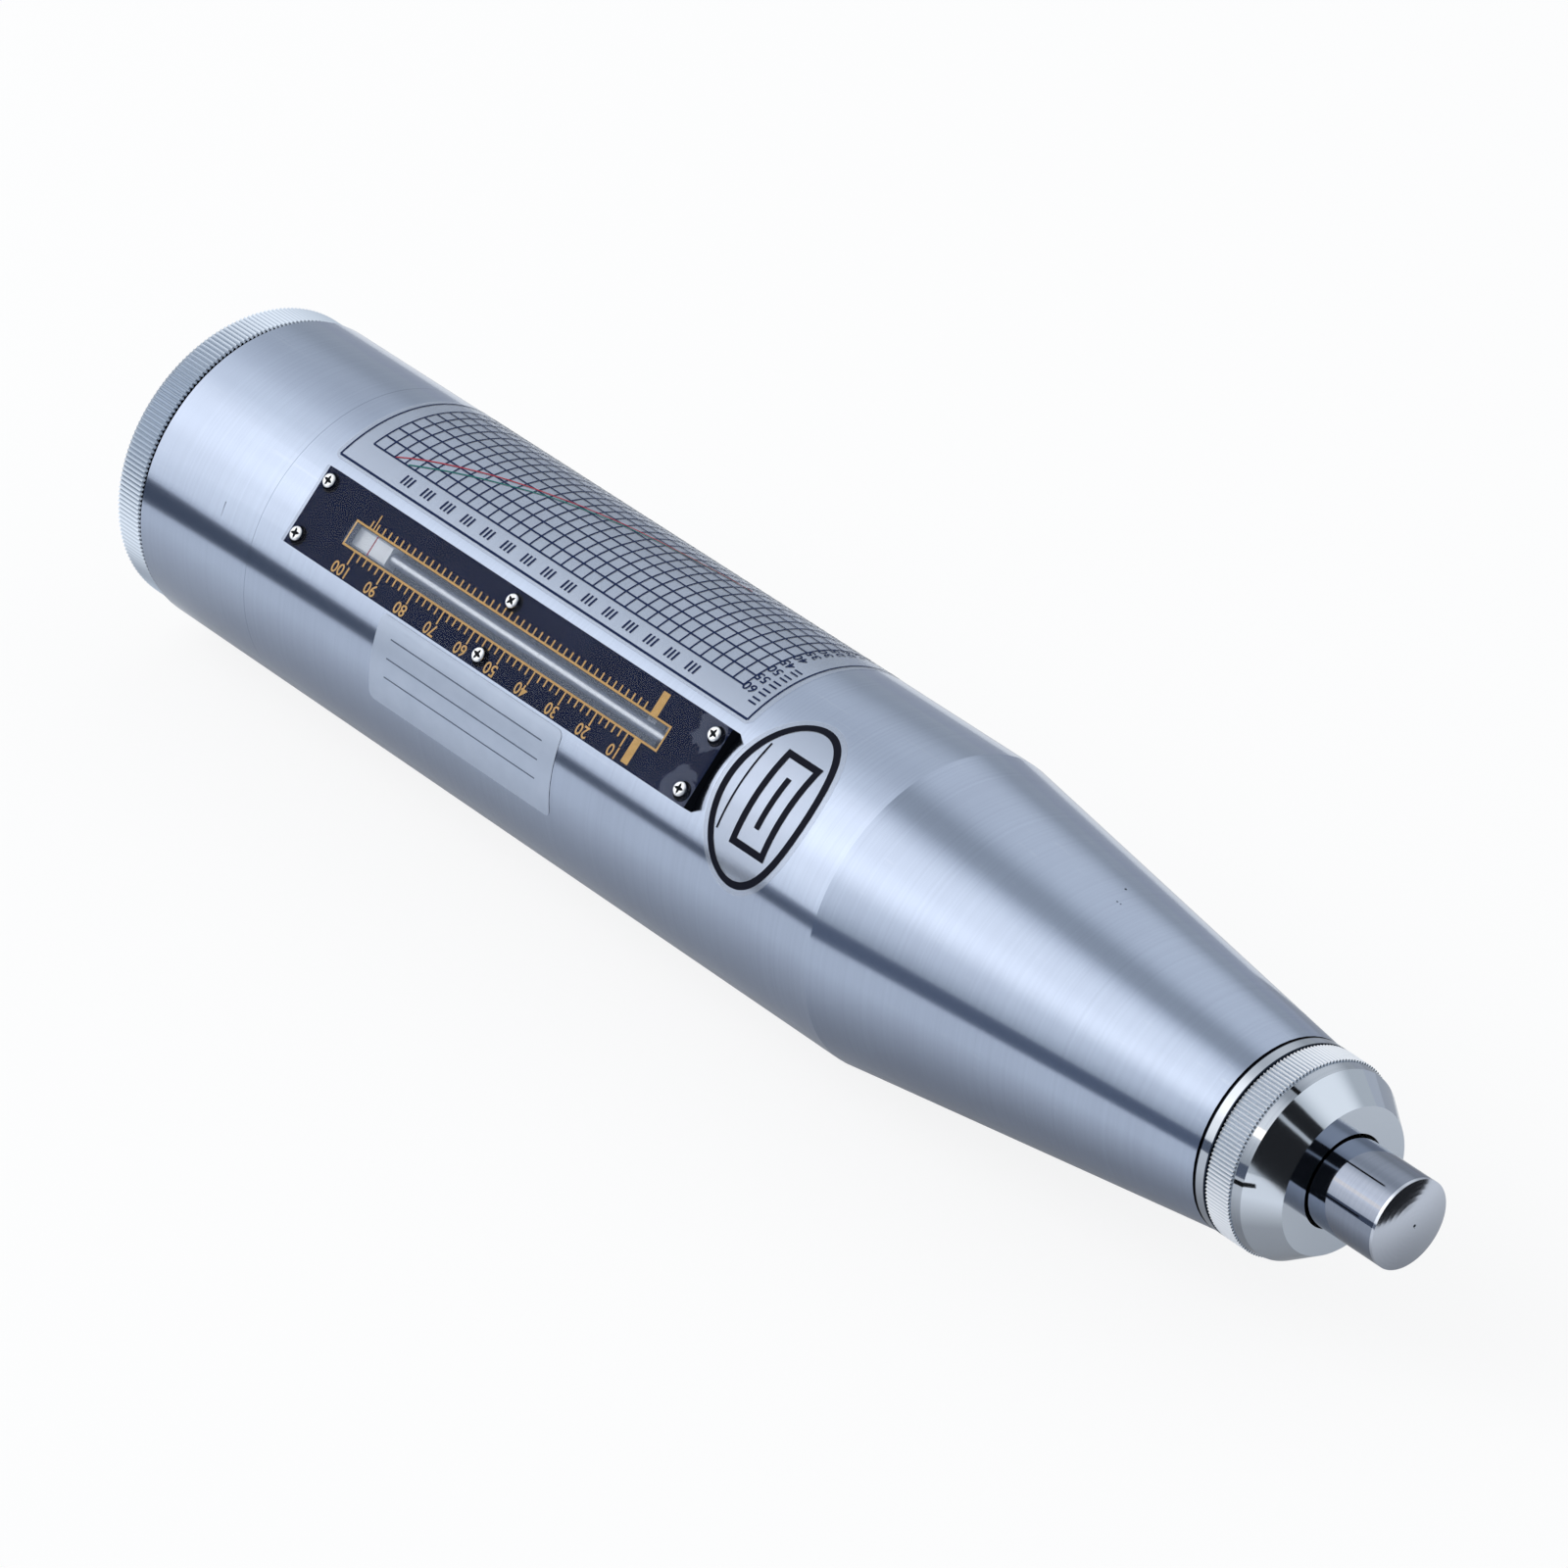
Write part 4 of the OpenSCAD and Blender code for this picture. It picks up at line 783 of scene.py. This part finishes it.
def sheet(name, u0, u1, v0, v1, corner):
    """A thin stuck sheet with round corners, wrapped round the barrel."""
    bpy.ops.object.select_all(action="DESELECT")
    bpy.ops.mesh.primitive_plane_add(size=1, location=((u0 + u1) / 2, (v0 + v1) / 2, 0))
    piece = bpy.context.object
    piece.scale = (u1 - u0, v1 - v0, 1)
    bpy.ops.object.transform_apply(location=True, rotation=True, scale=True)
    bpy.ops.object.mode_set(mode="EDIT")
    bpy.ops.mesh.select_all(action="SELECT")
    bpy.ops.mesh.bevel(offset=corner, segments=6, affect="VERTICES")
    bpy.ops.mesh.select_all(action="SELECT")
    steps = int((v1 - v0) / 0.9)
    for i in range(1, steps):
        bpy.ops.mesh.select_all(action="SELECT")
        bpy.ops.mesh.bisect(plane_co=(0, v0 + (v1 - v0) * i / steps, 0), plane_no=(0, 1, 0))
    bpy.ops.object.mode_set(mode="OBJECT")
    lay_round(piece, BARREL_R + FILM_UP)
    faces_out(piece)
    for polygon in piece.data.polygons:
        polygon.use_smooth = True
    piece.name = name
    return piece


chart_film = sheet("chart_film", 39.9, 142.2, 18.9 * arc, 93.5 * arc, 1.5)
chart_film.data.materials.append(film("clear_print_film", 0.26))
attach(chart_film, "tube")

CELL = 2.6
GRID_U0, GRID_V0, COLUMNS, ROWS, GRID_HALF = 44.1, 30.3 * arc, 35, 11, 0.16
marks = []
for i in range(COLUMNS + 1):
    u = GRID_U0 + CELL * i
    marks.append(stroke(u - GRID_HALF, u + GRID_HALF, GRID_V0, GRID_V0 + CELL * ROWS, 1, 36))
for i in range(ROWS + 1):
    v = GRID_V0 + CELL * i
    marks.append(stroke(GRID_U0, GRID_U0 + CELL * COLUMNS, v - GRID_HALF, v + GRID_HALF, 1, 1))
FRAME_U0, FRAME_U1, FRAME_V0, FRAME_V1 = 40.9, 141.0, 20.6 * arc, 92.0 * arc
SIDE_HALF, END_HALF = 0.2, 0.17
for v in (FRAME_V0, FRAME_V1):
    marks.append(stroke(FRAME_U0, FRAME_U1, v - SIDE_HALF, v + SIDE_HALF))
for u in (FRAME_U0, FRAME_U1):
    marks.append(stroke(u - END_HALF, u + END_HALF, FRAME_V0, FRAME_V1, 1, 40))
ROW_NUMBER_U, ROW_NUMBER_SIZE, ROW_NUMBER_STRETCH = 136.3, 2.3, 1.15
for i in range(ROWS):
    marks.append(number(str(60 - 5 * i), ROW_NUMBER_U, GRID_V0 + CELL * i + 0.3,
                        ROW_NUMBER_SIZE, ROW_NUMBER_STRETCH))
# Captions are groups of three bars along the grid and pairs of bars at its front end.
CAPTION_U0, CAPTION_PITCH, CAPTION_V, PAIR_U0, PAIR_U1 = 55.5, 5.0, 25.4 * arc, 138.2, 139.9
for i in range(15):
    for k in (-0.9, 0, 0.9):
        u = CAPTION_U0 + CAPTION_PITCH * i + k
        marks.append(stroke(u - 0.2, u + 0.2, CAPTION_V - 0.95, CAPTION_V + 0.95, 1, 3))
for i in range(5):
    v = (27.5 + 4.6 * i) * arc
    marks.append(stroke(PAIR_U0, PAIR_U1, v - 0.62, v - 0.3))
    marks.append(stroke(PAIR_U0, PAIR_U1, v + 0.3, v + 0.62))
chart_print = join(marks, "chart_print")
lay_round(chart_print, BARREL_R + FILM_UP + INK_UP)
faces_out(chart_print)
chart_print.data.materials.append(ink("dark_blue_print", "#10234A"))
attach(chart_print, "tube")


def curve(name, points, width, code, ink_name):
    """A drawn curve of the chart through points of (u, degrees), as a thin wrapped band."""
    line = bpy.data.curves.new(name, "CURVE")
    line.dimensions = "2D"
    line.resolution_u = 8
    spline = line.splines.new("BEZIER")
    spline.bezier_points.add(len(points) - 1)
    for point, (u, degrees) in zip(spline.bezier_points, points):
        point.co = (u, degrees * arc, 0)
        point.handle_left_type = point.handle_right_type = "AUTO"
    line.extrude = 0
    piece = bpy.data.objects.new(name, line)
    bpy.context.scene.collection.objects.link(piece)
    bpy.ops.object.select_all(action="DESELECT")
    piece.select_set(True)
    bpy.context.view_layer.objects.active = piece
    bpy.ops.object.convert(target="MESH")
    bpy.ops.object.mode_set(mode="EDIT")
    bpy.ops.mesh.select_all(action="SELECT")
    bpy.ops.mesh.extrude_region_move(TRANSFORM_OT_translate={"value": (0.06, width, 0)})
    bpy.ops.object.mode_set(mode="OBJECT")
    lay_round(piece, BARREL_R + FILM_UP + 1.6 * INK_UP)
    faces_out(piece)
    piece.data.materials.append(ink(ink_name, code))
    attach(piece, "tube")
    return piece


CURVE_WIDTH = 0.34
curve("chart_curve_red", [(49.5, 30.3), (53.3, 34.8), (60.4, 41.9), (67.6, 48.5), (74, 53.4),
                          (81.9, 59.4), (89, 64.1), (96.1, 67.8), (104, 71.4), (113, 75.2)],
      CURVE_WIDTH, "#A83A48", "red_print")
curve("chart_curve_green", [(52.6, 30.3), (60.4, 38.2), (69, 46.4), (76.9, 53.9), (81.9, 57.6),
                            (89, 62.7), (96.1, 67.0), (104, 70.9), (113, 74.9)],
      CURVE_WIDTH, "#1F6A66", "green_print")

# Oval tag: a clear film, die-cut and stuck to the barrel in front of the scale plate. It is
# printed with a thick black ring, a plain oblong frame and a ruled line.
OVAL_U, OVAL_V, OVAL_HALF_U, OVAL_HALF_V = 153.9, 1.9 * arc, 9.3, 14.9
OVAL_MARGIN, OVAL_LINE = 1.0, 1.25


def ring(u, v, half_u, half_v, width, steps=96):
    """A printed oval ring on the unrolled surface: an edge circle inset to its width."""
    bpy.ops.object.select_all(action="DESELECT")
    bpy.ops.mesh.primitive_circle_add(vertices=steps, radius=1, location=(u, v, 0),
                                      fill_type="NOTHING")
    piece = bpy.context.object
    piece.scale = (half_u, half_v, 1)
    bpy.ops.object.transform_apply(location=True, rotation=True, scale=True)
    bpy.ops.object.mode_set(mode="EDIT")
    bpy.ops.mesh.select_all(action="SELECT")
    bpy.ops.mesh.extrude_edges_move()
    bpy.ops.transform.resize(value=((half_u - width) / half_u, (half_v - width) / half_v, 1),
                             center_override=(u, v, 0))
    bpy.ops.object.mode_set(mode="OBJECT")
    return piece


bpy.ops.object.select_all(action="DESELECT")
bpy.ops.mesh.primitive_circle_add(vertices=96, radius=1, location=(OVAL_U, OVAL_V, 0),
                                  fill_type="NGON")
oval_film = bpy.context.object
oval_film.name = "oval_film"
oval_film.scale = (OVAL_HALF_U + OVAL_MARGIN, OVAL_HALF_V + OVAL_MARGIN, 1)
bpy.ops.object.transform_apply(location=True, rotation=True, scale=True)
bpy.ops.object.mode_set(mode="EDIT")
for i in range(-17, 18):
    bpy.ops.mesh.select_all(action="SELECT")
    bpy.ops.mesh.bisect(plane_co=(0, OVAL_V + 0.92 * i, 0), plane_no=(0, 1, 0))
bpy.ops.object.mode_set(mode="OBJECT")
lay_round(oval_film, BARREL_R + FILM_UP)
faces_out(oval_film)
for polygon in oval_film.data.polygons:
    polygon.use_smooth = True
oval_film.data.materials.append(film("oval_tag_film", 0.25))
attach(oval_film, "tube")
LONG_HALF, SHORT_HALF = 8.6, 7.4
oval_print = join([ring(OVAL_U, OVAL_V, OVAL_HALF_U, OVAL_HALF_V, OVAL_LINE),
                   stroke(151.2, 152.4, OVAL_V - LONG_HALF, OVAL_V + LONG_HALF, 1, 20),
                   stroke(157.9, 159.1, OVAL_V - LONG_HALF, OVAL_V + LONG_HALF, 1, 20),
                   stroke(152.4, 157.9, OVAL_V - LONG_HALF, OVAL_V - SHORT_HALF, 1, 2),
                   stroke(152.4, 157.9, OVAL_V + SHORT_HALF, OVAL_V + LONG_HALF, 1, 2),
                   stroke(154.6, 155.7, OVAL_V - 4.6, OVAL_V + 4.6, 1, 12),
                   stroke(147.75, 148.1, OVAL_V - 7.8, OVAL_V + 7.8, 1, 16)], "oval_print")
lay_round(oval_print, BARREL_R + FILM_UP + INK_UP)
faces_out(oval_print)
oval_print.data.materials.append(ink("black_print", "#080C1C"))
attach(oval_print, "tube")

# Pale sticker below the scale: matt silver polyester label, bare but for three ruled
# lines. Its metallised face shows the room as softly as frosted metal.
sticker = sheet("pale_sticker", 66.9, 111.7, -49.0 * arc, -16.6 * arc, 1.2)
label_face, tree, shader = new_material("matt_silver_polyester_label")
mottle(tree, shader, 300, 3.0, "#B3BFD3", "#C1CCDF")
shader.inputs["Metallic"].default_value = 0.85
shader.inputs["Roughness"].default_value = 0.4
sticker.data.materials.append(label_face)
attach(sticker, "tube")
RULED_HALF = 0.12
sticker_lines = join([stroke(70.5, 108, turn * arc - RULED_HALF, turn * arc + RULED_HALF, 1, 1)
                      for turn in (-23.5, -30.5, -37.5)], "sticker_lines")
lay_round(sticker_lines, BARREL_R + FILM_UP + INK_UP)
faces_out(sticker_lines)
sticker_lines.data.materials.append(ink("grey_print", "#5A6478"))
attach(sticker_lines, "tube")

bpy.context.scene.view_settings.view_transform = "Standard"
